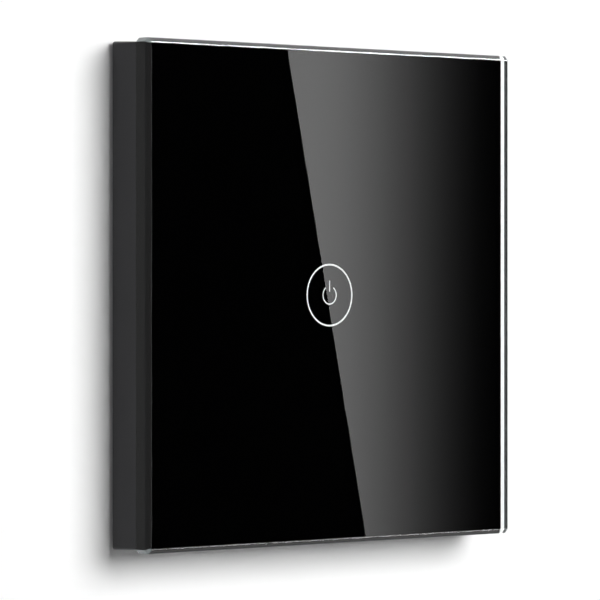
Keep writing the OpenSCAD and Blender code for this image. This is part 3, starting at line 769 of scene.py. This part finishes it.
class Bench:
    """Modelling steps that the pieces share, each done with Blender's operators.

    Attributes:
        WIRE_SIDES: Sides of a coil's wire.
        TURN_STEPS: Steps in one turn of a coil.
        WIRE_ANGLE: Angle below which a coil is shaded smooth.
        PIECE_ANGLE: Angle below which another piece is.
        FLAT_WEIGHT: Weight of large faces in the shading.
        WELD: Distance within which a node's points are one.
        FLAT_ANGLE: Angle below which a node's faces are one flat.
        EDGE_ANGLE: Angle above which a node's edge is rounded.
        EDGE_FACES: Number of faces across such a rounding.
    """

    WIRE_SIDES = 10
    TURN_STEPS = 28
    WIRE_ANGLE = math.radians(50)
    PIECE_ANGLE = math.radians(30)
    FLAT_WEIGHT = 100
    WELD = 0.0005 * MM
    FLAT_ANGLE = math.radians(0.5)
    EDGE_ANGLE = math.radians(40)
    EDGE_FACES = 2

    @staticmethod
    def clear() -> None:
        """Leave edit mode and deselect everything."""
        active = bpy.context.view_layer.objects.active
        if active is not None and active.mode != "OBJECT":
            bpy.ops.object.mode_set(mode="OBJECT")
        bpy.ops.object.select_all(action="DESELECT")

    @staticmethod
    def hold(piece: bpy.types.Object) -> None:
        """Make a piece the only one that operators act on.

        Args:
            piece: The piece to work on.
        """
        Bench.clear()
        piece.select_set(True)
        bpy.context.view_layer.objects.active = piece

    @staticmethod
    def added(name: str) -> bpy.types.Object:
        """Name the primitive that was just added and put its place into its mesh.

        Args:
            name: Name of the new piece.

        Returns:
            The new piece.
        """
        piece = bpy.context.object
        piece.name = name
        piece.data.name = name
        bpy.ops.object.transform_apply(location=True, rotation=True, scale=True)
        return piece

    @staticmethod
    def block(name: str, low: Vector, high: Vector) -> bpy.types.Object:
        """Add a box between two corners.

        Args:
            name: Name of the new piece.
            low: Lowest corner.
            high: Highest corner.

        Returns:
            The new piece.
        """
        Bench.clear()
        bpy.ops.mesh.primitive_cube_add(size=1.0, location=(low + high) / 2, scale=high - low)
        return Bench.added(name)

    @staticmethod
    def sheet(
        name: str, size: float, place: Sequence[float], turn: Sequence[float]
    ) -> bpy.types.Object:
        """Add a flat square.

        Args:
            name: Name of the new piece.
            size: Length of its sides.
            place: Its middle.
            turn: Its turn about each axis.

        Returns:
            The new piece.
        """
        Bench.clear()
        bpy.ops.mesh.primitive_plane_add(size=size, location=place, rotation=turn)
        return Bench.added(name)

    @staticmethod
    def pick_edges(piece: bpy.types.Object, wanted: Callable[[Vector, Vector], bool]) -> None:
        """Enter edit mode with the edges selected whose two ends pass a test.

        Args:
            piece: The piece to select on.
            wanted: Test of an edge's two ends.
        """
        Bench.hold(piece)
        bpy.ops.object.mode_set(mode="EDIT")
        bpy.ops.mesh.select_mode(type="EDGE")
        bpy.ops.mesh.select_all(action="DESELECT")
        bpy.ops.object.mode_set(mode="OBJECT")
        points = [v.co.copy() for v in piece.data.vertices]
        for edge in piece.data.edges:
            first, second = edge.vertices
            edge.select = wanted(points[first], points[second])
        bpy.ops.object.mode_set(mode="EDIT")

    @staticmethod
    def chamfer(width: float, segments: int = 1) -> None:
        """Bevel the selected edges and leave edit mode.

        Args:
            width: Width of the bevel.
            segments: Number of faces across it.
        """
        bpy.ops.mesh.bevel(
            offset_type="OFFSET",
            offset=width,
            segments=segments,
            profile=0.5,
            affect="EDGES",
            clamp_overlap=False,
        )
        bpy.ops.object.mode_set(mode="OBJECT")

    @staticmethod
    def smooth(piece: bpy.types.Object) -> None:
        """Shade a piece smooth, and keep its flats flat.

        Args:
            piece: The piece to shade.
        """
        Bench.hold(piece)
        bpy.ops.object.shade_smooth_by_angle(angle=Bench.PIECE_ANGLE)
        bpy.ops.object.modifier_add(type="WEIGHTED_NORMAL")
        weighted = piece.modifiers[-1]
        weighted.keep_sharp = True
        weighted.weight = Bench.FLAT_WEIGHT
        bpy.ops.object.modifier_apply(modifier=weighted.name)

    @staticmethod
    def coil(name: str, low: Vector, high: Vector, wire: float, turns: int) -> bpy.types.Object:
        """Wind a round wire about an axis along Y.

        Args:
            name: Name of the new piece.
            low: Lowest corner of the space that the coil fills.
            high: Highest corner.
            wire: Thickness of the wire.
            turns: Number of turns.

        Returns:
            The new piece.
        """
        Bench.clear()
        bpy.ops.mesh.primitive_circle_add(
            vertices=Bench.WIRE_SIDES,
            radius=wire / 2,
            location=((high.x - low.x - wire) / 2, low.y + wire / 2, 0.0),
        )
        piece = Bench.added(name)
        bpy.ops.object.modifier_add(type="SCREW")
        screw = piece.modifiers[-1]
        screw.axis = "Y"
        screw.screw_offset = (high.y - low.y - wire) / turns
        screw.iterations = turns
        screw.steps = screw.render_steps = Bench.TURN_STEPS
        bpy.ops.object.modifier_apply(modifier=screw.name)
        bpy.ops.object.mode_set(mode="EDIT")
        bpy.ops.mesh.select_all(action="SELECT")
        bpy.ops.mesh.fill_holes(sides=0)
        bpy.ops.mesh.select_all(action="SELECT")
        bpy.ops.mesh.normals_make_consistent(inside=False)
        middle = (low + high) / 2
        bpy.ops.transform.translate(value=(middle.x, 0.0, middle.z))
        bpy.ops.object.mode_set(mode="OBJECT")
        bpy.ops.object.shade_smooth_by_angle(angle=Bench.WIRE_ANGLE)
        return piece

    @staticmethod
    def soften(node: bpy.types.Object, width: float) -> None:
        """Round a CAD node's sharp edges with modifiers, its own mesh untouched.

        Args:
            node: The CAD node.
            width: Width of the rounding.
        """
        weld = node.modifiers.new("weld", "WELD")
        weld.merge_threshold = Bench.WELD
        flat = node.modifiers.new("flat", "DECIMATE")
        flat.decimate_type = "DISSOLVE"
        flat.angle_limit = Bench.FLAT_ANGLE
        edge = node.modifiers.new("edge", "BEVEL")
        edge.limit_method = "ANGLE"
        edge.angle_limit = Bench.EDGE_ANGLE
        edge.width = width
        edge.segments = Bench.EDGE_FACES
        edge.miter_outer = "MITER_ARC"
        edge.harden_normals = True


def near(value: float, target: float) -> bool:
    """Tell whether two lengths are the same."""
    return abs(value - target) < SAME


FRAME_PLASTIC = Moulding(
    "frame_plastic", (0.036, 0.036, 0.039), 0.32, relief=0.002 * MM, gloss=0.3
)
HOUSING_PLASTIC = Moulding("housing_plastic", (0.72, 0.72, 0.7), 0.42, mottle=0.03)
BLACK_MOULDING = Moulding("black_moulding", (0.02, 0.02, 0.022), 0.5)
ZINC_STEEL = Metal("zinc_steel", (0.6, 0.61, 0.62), 0.42)
NICKEL_SCREW = Metal("nickel_screw", (0.62, 0.62, 0.6), 0.35, worked=Grain.TURNED)
GOLD_PLATE = Metal("gold_plate", (0.83, 0.62, 0.25), 0.3)
CONTACT_BRASS = Metal("contact_brass", (0.78, 0.58, 0.26), 0.35)
SOFT_IRON = Metal("soft_iron", (0.5, 0.5, 0.5), 0.42)
COPPER_WIRE = Metal("copper_wire", (0.62, 0.26, 0.1), 0.35)
WOUND_COPPER = Metal("wound_copper", (0.62, 0.26, 0.1), 0.4, worked=Grain.WOUND, step=0.3 * MM)
BOARD_LAMINATE = Laminate("board_laminate", (0.02, 0.13, 0.06), 0.4)


@dataclass
class SubAssembly:
    """A group of parts that are built and dressed together.

    Attributes:
        nodes: The CAD nodes by name.
    """

    nodes: Mapping[str, bpy.types.Object]

    def build(self) -> None:
        """Model the new pieces and dress all parts of the group."""
        raise NotImplementedError

    def dress(self, name: str, finish: Finish, edge: float = 0.0) -> None:
        """Give a CAD node its finish, and round its edges.

        Args:
            name: Name of the node.
            finish: Its finish.
            edge: Width of the rounding, or 0 for none.
        """
        node = self.nodes[name]
        node.data.materials.clear()
        node.data.materials.append(material_of(finish))
        if edge > 0:
            Bench.soften(node, edge)
        LOG.info("node %s: %s", name, finish.name)

    @staticmethod
    def stand_for(piece: bpy.types.Object, body: str, name: str, slot: str) -> None:
        """Let a new piece take a CAD node's place.

        Args:
            piece: The new piece.
            body: Body that it moves with.
            name: Node that it replaces.
            slot: Material slot of the record; not used.
        """
        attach(piece, body)
        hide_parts(name)
        LOG.info("piece %s for %s", piece.name, name)


@dataclass
class GlassPanel(SubAssembly):
    """The glass, with its print and its icon, whose glow is painted light.

    Attributes:
        corner_cut: Width taken off each side at a corner.
        bevel: Width of the front bevel.
        arris: Width of the fine edge between the front and the bevel.
        outer_arris: Width of the fine edge between the bevel and the side.
        back_edge: Width of the ground edge at the back.
        ink_overlap: Depth to which the print's front lies in the glass.
        side_facing: Y of the normal below which a face belongs to the sides.
        corner_facing: X and Z of the normal above which a side belongs to a corner.
    """

    corner_cut: float = 0.65 * MM
    bevel: float = 0.7 * MM
    arris: float = 0.12 * MM
    outer_arris: float = 0.05 * MM
    back_edge: float = 0.2 * MM
    ink_overlap: float = 0.02 * MM
    side_facing: float = 0.8
    corner_facing: float = 0.2

    def build(self) -> None:
        """Model the glass, and dress the print and the icon."""
        pane = self._pane()
        for finish in (
            PolishedGlass("polished_glass", (0.95, 0.975, 0.97), 0.0),
            GroundGlass("ground_glass", (0.2, 0.225, 0.23), 0.55),
        ):
            pane.data.materials.append(material_of(finish))
        for face in pane.data.polygons:
            x, y, z = (abs(part) for part in face.normal)
            face.material_index = int(y < self.side_facing and min(x, z) > self.corner_facing)
        self.stand_for(pane, "panel", "glass_panel", "glass")
        low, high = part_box("back_print")
        middle = (low.y + high.y) / 2
        self.dress("back_print", Ink("black_ink", (0.0008, 0.0008, 0.0009), 0.9, back_y=middle))
        # The icon's glow is painted light on its white print
        self.dress("touch_icon", PaintedGlowPrint("painted_glow_print", (1.0, 1.0, 1.0), 0.7))

    def _pane(self) -> bpy.types.Object:
        """Model the glass from a block.

        Returns:
            The glass.
        """
        low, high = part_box("glass_panel")
        high = Vector((high.x, high.y + self.ink_overlap, high.z))
        pane = Bench.block("glass_pane", low, high)
        Bench.pick_edges(pane, lambda a, b: near(a.x, b.x) and near(a.z, b.z))
        Bench.chamfer(self.corner_cut)
        self._edge_loop(pane, low.y, self.bevel)
        self._edge_loop(pane, high.y, self.back_edge)
        self._edge_loop(pane, low.y + self.bevel, self.outer_arris, segments=2)
        self._edge_loop(pane, low.y, self.arris, segments=4)
        Bench.smooth(pane)
        return pane

    @staticmethod
    def _edge_loop(pane: bpy.types.Object, y: float, width: float, segments: int = 1) -> None:
        """Bevel the edges of the pane that lie in one Y plane."""
        Bench.pick_edges(pane, lambda a, b: near(a.y, y) and near(b.y, y))
        Bench.chamfer(width, segments)


@dataclass
class PanelFrame(SubAssembly):
    """The moulded frame behind the glass, and the tape between them.

    Attributes:
        edge: Rounding of the frame's edges.
    """

    edge: float = 0.06 * MM

    def build(self) -> None:
        """Dress the frame and the tape."""
        self.dress("panel_frame", FRAME_PLASTIC, self.edge)
        self.dress("adhesive_tape", Foam("tape_foam", (0.05, 0.05, 0.052), 0.8))


@dataclass
class MountingPlate(SubAssembly):
    """The steel plate on the wall, and the rubber bushes in it.

    Attributes:
        edge: Rounding of the punched edges.
        bush_edge: Rounding of the bushes.
    """

    edge: float = 0.12 * MM
    bush_edge: float = 0.2 * MM

    def build(self) -> None:
        """Dress the plate and the bushes."""
        self.dress("mounting_plate", ZINC_STEEL, self.edge)
        rubber = Foam("bush_rubber", (0.03, 0.03, 0.03), 0.6, cell=0.12 * MM)
        self.dress("panel_grommets", rubber, self.bush_edge)


@dataclass
class Housing(SubAssembly):
    """The box in the wall, its cover and their screws.

    Attributes:
        edge: Rounding of the moulded edges.
        screw_edge: Rounding of the screws.
    """

    edge: float = 0.2 * MM
    screw_edge: float = 0.06 * MM

    def build(self) -> None:
        """Dress the housing, the cover and the screws."""
        self.dress("rear_housing", HOUSING_PLASTIC, self.edge)
        self.dress("front_cover", HOUSING_PLASTIC, self.edge)
        self.dress("cover_screws", NICKEL_SCREW, self.screw_edge)


@dataclass
class TouchUnit(SubAssembly):
    """The touch board, the light guide and the coil that senses the finger.

    Attributes:
        wire: Wire thickness of the coil.
        turns: Number of its turns.
        edge: Rounding of the small moulded parts.
        chip_edge: Rounding of the chip, which stands just off the board.
        lead_reach: Length by which the chip's leads stick out.
    """

    wire: float = 0.4 * MM
    turns: int = 3
    edge: float = 0.08 * MM
    chip_edge: float = 0.04 * MM
    lead_reach: float = 1.5 * MM

    def build(self) -> None:
        """Wind the coil and dress the board's parts."""
        coil = Bench.coil("touch_coil", *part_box("touch_spring"), self.wire, self.turns)
        coil.data.materials.append(material_of(GOLD_PLATE))
        self.stand_for(coil, "module", "touch_spring", "gold_plate")
        self.dress("light_guide", MilkyClear("clear_plastic", (0.9, 0.92, 0.93), 0.3), self.edge)
        self.dress("touch_board", BOARD_LAMINATE)
        low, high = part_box("touch_chip")
        chip = Leaded(
            "chip_moulding",
            BLACK_MOULDING.colour,
            axis=Axis.Z,
            start=low.z + self.lead_reach,
            end=high.z - self.lead_reach,
        )
        self.dress("touch_chip", chip, self.chip_edge)
        lens = Moulding("led_lens", (0.85, 0.84, 0.7), 0.25, coat=0.5)
        self.dress("indicator_leds", lens, self.edge)
        self.dress("board_socket", BLACK_MOULDING, self.edge)


@dataclass
class PowerUnit(SubAssembly):
    """The power board and the parts on it.

    Attributes:
        wire: Wire thickness of the choke.
        case_edge: Rounding of the moulded cases.
        edge: Rounding of the small parts.
        fuse_edge: Rounding of the fuse, whose caps have a low step.
        stand: Distance from the board to the varistor and the fuse.
        cap: Length of the fuse's metal caps.
        rim: Depth of the can's bare top.
    """

    wire: float = 0.48 * MM
    case_edge: float = 0.3 * MM
    edge: float = 0.08 * MM
    fuse_edge: float = 0.05 * MM
    stand: float = 0.6 * MM
    cap: float = 1.5 * MM
    rim: float = 0.02 * MM

    def build(self) -> None:
        """Wind the choke and dress the board and its parts."""
        low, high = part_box("choke_winding")
        turns = round((high.y - low.y) / self.wire) - 1
        coil = Bench.coil("choke_coil", low, high, self.wire, turns)
        coil.data.materials.append(material_of(COPPER_WIRE))
        self.stand_for(coil, "module", "choke_winding", "copper_wire")
        self.dress("power_board", BOARD_LAMINATE)
        self.dress("board_header", BLACK_MOULDING, self.edge)
        self.dress("header_pins", GOLD_PLATE)
        self.dress("board_screws", NICKEL_SCREW, self.edge)
        self._dress_leaded(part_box("power_board")[1].y)

    def _dress_leaded(self, seat: float) -> None:
        """Dress the parts that have legs, caps or a bare top.

        Args:
            seat: Y plane of the board on which they stand.
        """
        ferrite = Leaded("ferrite", (0.05, 0.05, 0.052), 0.6, start=seat)
        self.dress("choke_core", ferrite, self.edge)
        film_case = Leaded("film_case", (0.68, 0.42, 0.08), 0.35, coat=0.3, start=seat)
        self.dress("film_capacitor", film_case, self.case_edge)
        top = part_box("electrolytic_capacitor")[1].y - self.rim
        sleeve = Leaded("can_sleeve", (0.02, 0.022, 0.05), 0.3, coat=0.5, start=seat, end=top)
        self.dress("electrolytic_capacitor", sleeve, self.case_edge)
        raised = seat + self.stand
        lacquer = Leaded("varistor_lacquer", (0.05, 0.16, 0.45), 0.35, coat=0.6, start=raised)
        self.dress("varistor", lacquer, self.case_edge)
        ceramic = Leaded(
            "fuse_ceramic",
            (0.75, 0.72, 0.62),
            0.35,
            coat=0.3,
            start=raised + self.cap,
            end=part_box("fuse")[1].y - self.cap,
        )
        self.dress("fuse", ceramic, self.fuse_edge)


@dataclass
class Terminals(SubAssembly):
    """The wire terminal with its rising clamps.

    Attributes:
        clamps: Number of the clamps.
        edge: Rounding of the moulded block.
        clamp_edge: Rounding of the clamps and screws.
    """

    clamps: int = 3
    edge: float = 0.12 * MM
    clamp_edge: float = 0.08 * MM

    def build(self) -> None:
        """Dress the terminal's parts."""
        plastic = Moulding("terminal_plastic", (0.06, 0.3, 0.14), 0.45)
        self.dress("terminal_block", plastic, self.edge)
        self.dress("terminal_contacts", CONTACT_BRASS)
        for index in range(1, self.clamps + 1):
            self.dress(f"terminal_screw_{index}", NICKEL_SCREW, self.clamp_edge)
            self.dress(f"terminal_cage_{index}", ZINC_STEEL, self.clamp_edge)


@dataclass
class Relay(SubAssembly):
    """The relay that switches the lamp.

    Attributes:
        case_edge: Rounding of the case.
        edge: Rounding of the parts inside it.
    """

    case_edge: float = 0.3 * MM
    edge: float = 0.06 * MM

    def build(self) -> None:
        """Dress the relay's parts."""
        case = Moulding("relay_case", (0.06, 0.22, 0.55), 0.3, coat=0.2)
        self.dress("relay_cover", case, self.case_edge)
        self.dress("relay_base", BLACK_MOULDING, self.edge)
        self.dress("relay_bobbin", Moulding("bobbin_plastic", (0.75, 0.72, 0.6), 0.45), self.edge)
        self.dress("relay_winding", WOUND_COPPER)
        for name in ("relay_core", "relay_yoke", "relay_armature"):
            self.dress(name, SOFT_IRON, self.edge)
        for name in ("relay_fixed_contact", "relay_contact_blade"):
            self.dress(name, CONTACT_BRASS)


@dataclass
class PhotoCamera:
    """Camera that sees the switch as the photograph does.

    Attributes:
        turn: Angle between the view and the wall's normal, in degrees.
        distance: Distance to the middle of the glass.
        height: Height above the middle of the glass.
        focal_px: Focal length in pixels.
        middle_px: Pixel at which the view's axis lies.
        frame_px: Width and height of the photograph.
        sensor: Width of the sensor in millimetres.
        clip: Nearest and farthest distance that the camera sees.
    """

    turn: float = 43.18
    distance: float = 663.8 * MM
    height: float = 2.3 * MM
    focal_px: float = 4120.8
    middle_px: tuple[float, float] = (336.66, 280.86)
    frame_px: float = 600.0
    sensor: float = 36.0
    clip: tuple[float, float] = (0.01, 50.0)

    def spot(self, front: float) -> Vector:
        """Return the camera's place.

        Args:
            front: Y plane of the front of the glass.

        Returns:
            The place.
        """
        angle = math.radians(self.turn)
        side, back = self.distance * math.sin(angle), self.distance * math.cos(angle)
        return Vector((-side, front - back, self.height))

    def build(self, front: float) -> None:
        """Add the camera.

        Args:
            front: Y plane of the front of the glass.
        """
        bpy.ops.object.camera_add(
            location=self.spot(front), rotation=(math.radians(90), 0.0, -math.radians(self.turn))
        )
        camera = bpy.context.object
        camera.name = "photo_camera"
        camera.data.sensor_width = self.sensor
        camera.data.lens = self.focal_px * self.sensor / self.frame_px
        half = self.frame_px / 2
        camera.data.shift_x = (half - self.middle_px[0]) / self.frame_px
        camera.data.shift_y = (self.middle_px[1] - half) / self.frame_px
        camera.data.clip_start, camera.data.clip_end = self.clip
        bpy.context.scene.camera = camera


@dataclass
class Lamp:
    """One soft light.

    Attributes:
        name: Name of the light.
        place: Where it stands.
        size: Width and height.
        power: Power in watts.
        glossy: Whether it shows in reflections.
    """

    name: str
    place: tuple[float, float, float]
    size: tuple[float, float]
    power: float
    glossy: bool = True

    def build(self) -> None:
        """Add the light, facing the switch."""
        turn = (-Vector(self.place)).to_track_quat("-Z", "Y").to_euler()
        bpy.ops.object.light_add(type="AREA", location=self.place, rotation=turn)
        light = bpy.context.object
        light.name = self.name
        light.data.shape = "RECTANGLE"
        light.data.size, light.data.size_y = self.size
        light.data.energy = self.power
        light.visible_camera = False
        light.visible_glossy = self.glossy
        light.visible_transmission = False


def only_reflected(card: bpy.types.Object) -> None:
    """Hide a card from everything but reflections.

    Args:
        card: The card.
    """
    for rays in ("camera", "diffuse", "transmission", "shadow"):
        setattr(card, f"visible_{rays}", False)


@dataclass
class Reflector:
    """A card, bright or dim, that only reflections show.

    Attributes:
        name: Name of the card.
        place: Its middle.
        level: Brightness.
        size: Length of its sides.
        flat: Whether it lies on the wall; otherwise it faces the switch.
    """

    name: str
    place: tuple[float, float, float]
    level: float
    size: float = 0.5
    flat: bool = False

    def build(self) -> None:
        """Add the card."""
        aim = Vector((0.0, 1.0, 0.0)) if self.flat else Vector(self.place)
        turn = aim.to_track_quat("Z", "Y").to_euler()
        card = Bench.sheet(self.name, self.size, self.place, turn)
        material, graph = new_material(f"{self.name}_glow")
        graph.end(graph.glow(self.level))
        card.data.materials.append(material)
        only_reflected(card)


@dataclass
class Studio:
    """Wall, floor, lights and the cards that the glass reflects.

    Attributes:
        camera: The camera that the main card is set out for.
        front: Y plane of the front of the glass.
        wall_gap: Gap between the wall plane and the plate, so that they don't touch.
        wall_size: Length of the wall's sides.
        floor_size: Length of the floor's sides.
        floor_drop: Depth of the floor below the middle of the switch.
        dim: Strength of the world as a light.
        card_reach: Distance from the glass to the main card.
        card_half: Half the width of the glass that it covers.
        card_cells: Number of its cells along a side.
        card_level: Its brightness where it is brightest.
        edge_top: Where its slanted edge crosses the top of the glass, in X and Z.
        edge_foot: Where that edge crosses the bottom.
        fade: X at which its brightness starts to fall and is gone.
        fade_power: How steeply it falls.
        lift: Distance from the wall plane to the cards that lie on the wall.
    """

    camera: PhotoCamera
    front: float
    wall_gap: float = 0.1 * MM
    wall_size: float = 4.0
    floor_size: float = 12.0
    floor_drop: float = 1.1
    dim: float = 0.09
    card_reach: float = 0.45
    card_half: float = 46 * MM
    card_cells: int = 16
    card_level: float = 3.02
    edge_top: tuple[float, float] = (-10.8 * MM, 39.1 * MM)
    edge_foot: tuple[float, float] = (6.5 * MM, -38.9 * MM)
    fade: tuple[float, float] = (-8.1 * MM, 45.3 * MM)
    fade_power: float = 2.2
    lift: float = 0.3 * MM

    def build(self) -> None:
        """Set up the whole stage."""
        self._world()
        self._wall()
        self._floor()
        self._card()
        for light in (*self._lamps(), *self._reflectors()):
            light.build()

    def _world(self) -> None:
        """Make the world white to look at and dim as a light."""
        world = bpy.data.worlds.new("studio")
        world.use_nodes = True
        bpy.context.scene.world = world
        graph = Graph(world.node_tree)
        level = self.dim + (1 - self.dim) * self._seen(graph)
        inputs = {"Color": (1.0, 1.0, 1.0, 1.0), "Strength": level}
        graph.end(graph.add("ShaderNodeBackground", inputs=inputs), "ShaderNodeOutputWorld")

    @staticmethod
    def _seen(graph: Graph) -> Wire:
        """Return 1 for camera, glossy and transmission rays, else 0."""
        camera, glossy, through = graph.rays("Camera", "Glossy", "Transmission")
        return (camera + glossy + through) > 0.5

    @staticmethod
    def _sheet(name: str, size: float, place: Sequence[float], tilt: float) -> bpy.types.Object:
        """Add a stage plane.

        Args:
            name: Name of the plane.
            size: Length of its sides.
            place: Its middle.
            tilt: Turn about X, in degrees.

        Returns:
            The plane.
        """
        sheet = Bench.sheet(name, size, place, (math.radians(tilt), 0.0, 0.0))
        return sheet

    def _wall(self) -> None:
        """Add the wall, clear to a viewer and to lamps behind it and white in reflections."""
        wall = self._sheet("wall", self.wall_size, (0.0, self.wall_gap, 0.0), 90.0)
        material, graph = new_material("wall_paint")
        paint = graph.principled(
            {"Base Color": (0.92, 0.92, 0.92), "Roughness": 0.9, "Specular IOR Level": 0.0}
        )
        reflected, shadow = graph.rays("Glossy", "Shadow")
        behind = graph.add("ShaderNodeNewGeometry", out="Backfacing")
        back = graph.mix(reflected, graph.add("ShaderNodeBsdfTransparent"), graph.glow(1.0))
        # 1 for rays that meet the back, and for shadow rays that meet the front
        clear = (behind - shadow) ** 2
        graph.end(graph.mix(clear, paint, back))
        wall.data.materials.append(material)

    def _floor(self) -> None:
        """Add the floor, well below the switch: pale as a surface and white to look at."""
        floor = self._sheet("floor", self.floor_size, (0.0, 0.0, -self.floor_drop), 0.0)
        material, graph = new_material("floor_paint")
        paint = graph.principled({"Base Color": (0.86, 0.86, 0.86), "Roughness": 0.8})
        graph.end(graph.mix(self._seen(graph), paint, graph.glow(1.0)))
        floor.data.materials.append(material)

    def _card(self) -> None:
        """Add the card whose slanted edge and fading grey the glass reflects."""
        Bench.clear()
        bpy.ops.mesh.primitive_grid_add(
            x_subdivisions=self.card_cells, y_subdivisions=self.card_cells, size=2 * self.card_half
        )
        card = Bench.added("reflected_card")
        angle = math.radians(self.camera.turn)
        out = Vector((math.sin(angle), -math.cos(angle), 0.0))
        eye = self.camera.spot(self.front)
        eye.y = 2 * self.front - eye.y
        middle = Vector((0.0, self.front, 0.0)) + self.card_reach * out
        for vertex in card.data.vertices:
            ray = Vector((vertex.co.x, self.front, vertex.co.y)) - eye
            vertex.co = eye + ray * ((middle - eye).dot(out) / ray.dot(out))
        card.data.materials.append(self._card_paint())
        only_reflected(card)

    def _card_paint(self) -> bpy.types.Material:
        """Make the card's glowing paint, set out in the glass's own X and Z.

        Returns:
            The paint.
        """
        material, graph = new_material("card_paint")
        u, v, _ = graph.axes(graph.add("ShaderNodeTexCoord", out="UV"))
        x, z = ((share - 0.5) * (2 * self.card_half) for share in (u, v))
        (top_x, top_z), (foot_x, foot_z) = self.edge_top, self.edge_foot
        slope = (top_x - foot_x) / (top_z - foot_z)
        lit = x > (z - foot_z) * slope + foot_x
        start, gone = self.fade
        ease = graph.add(
            "ShaderNodeMapRange",
            {"interpolation_type": "SMOOTHSTEP"},
            {"Value": x, "From Min": start, "From Max": gone, "To Min": 1.0, "To Max": 0.0},
        )
        graph.end(graph.glow(lit * (ease ** self.fade_power) * self.card_level))
        return material

    @staticmethod
    def _lamps() -> list[Lamp]:
        """Return the lights: two for the front, two for the back."""
        return [
            Lamp("key", (0.277, -0.9, 0.33), size=(0.88, 0.6), power=12.8, glossy=False),
            Lamp("left_fill", (-1.0, -0.12, 0.05), size=(0.6, 0.3), power=0.3, glossy=False),
            Lamp("back_high", (0.3, 0.85, 0.55), size=(0.6, 0.6), power=8.0),
            Lamp("back_low", (0.15, 0.8, -0.6), size=(0.6, 0.6), power=4.0),
        ]

    def _reflectors(self) -> list[Reflector]:
        """Return the cards that the bevels and the fine edges of the glass reflect."""
        y = -self.lift
        return [
            Reflector("top_edge_card", (0.684, -0.516, 0.516), level=38.0),
            Reflector("low_edge_card", (0.684, -0.47, -0.56), level=6.0),
            Reflector("top_wall_card", (0.1, y, 0.146), level=1.7, size=0.2, flat=True),
            Reflector("low_wall_card", (0.1, y, -0.146), level=0.65, size=0.2, flat=True),
            Reflector("left_wall_card", (-0.0903, y, 0.0), level=0.42, size=0.1, flat=True),
            Reflector("left_card", (-0.82, -0.875, 0.0), level=0.38, size=1.6),
        ]


GROUPS = (GlassPanel, PanelFrame, MountingPlate, Housing, TouchUnit, PowerUnit, Terminals, Relay)


def main() -> None:
    """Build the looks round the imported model."""
    logging.basicConfig(level=logging.INFO, format="%(message)s")
    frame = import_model()
    bpy.context.scene.view_settings.view_transform = "Standard"
    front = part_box("glass_panel")[0].y
    camera = PhotoCamera()
    camera.build(front)
    Studio(camera, front).build()
    for group in GROUPS:
        group(frame["nodes"]).build()


if __name__ == "__main__":
    main()
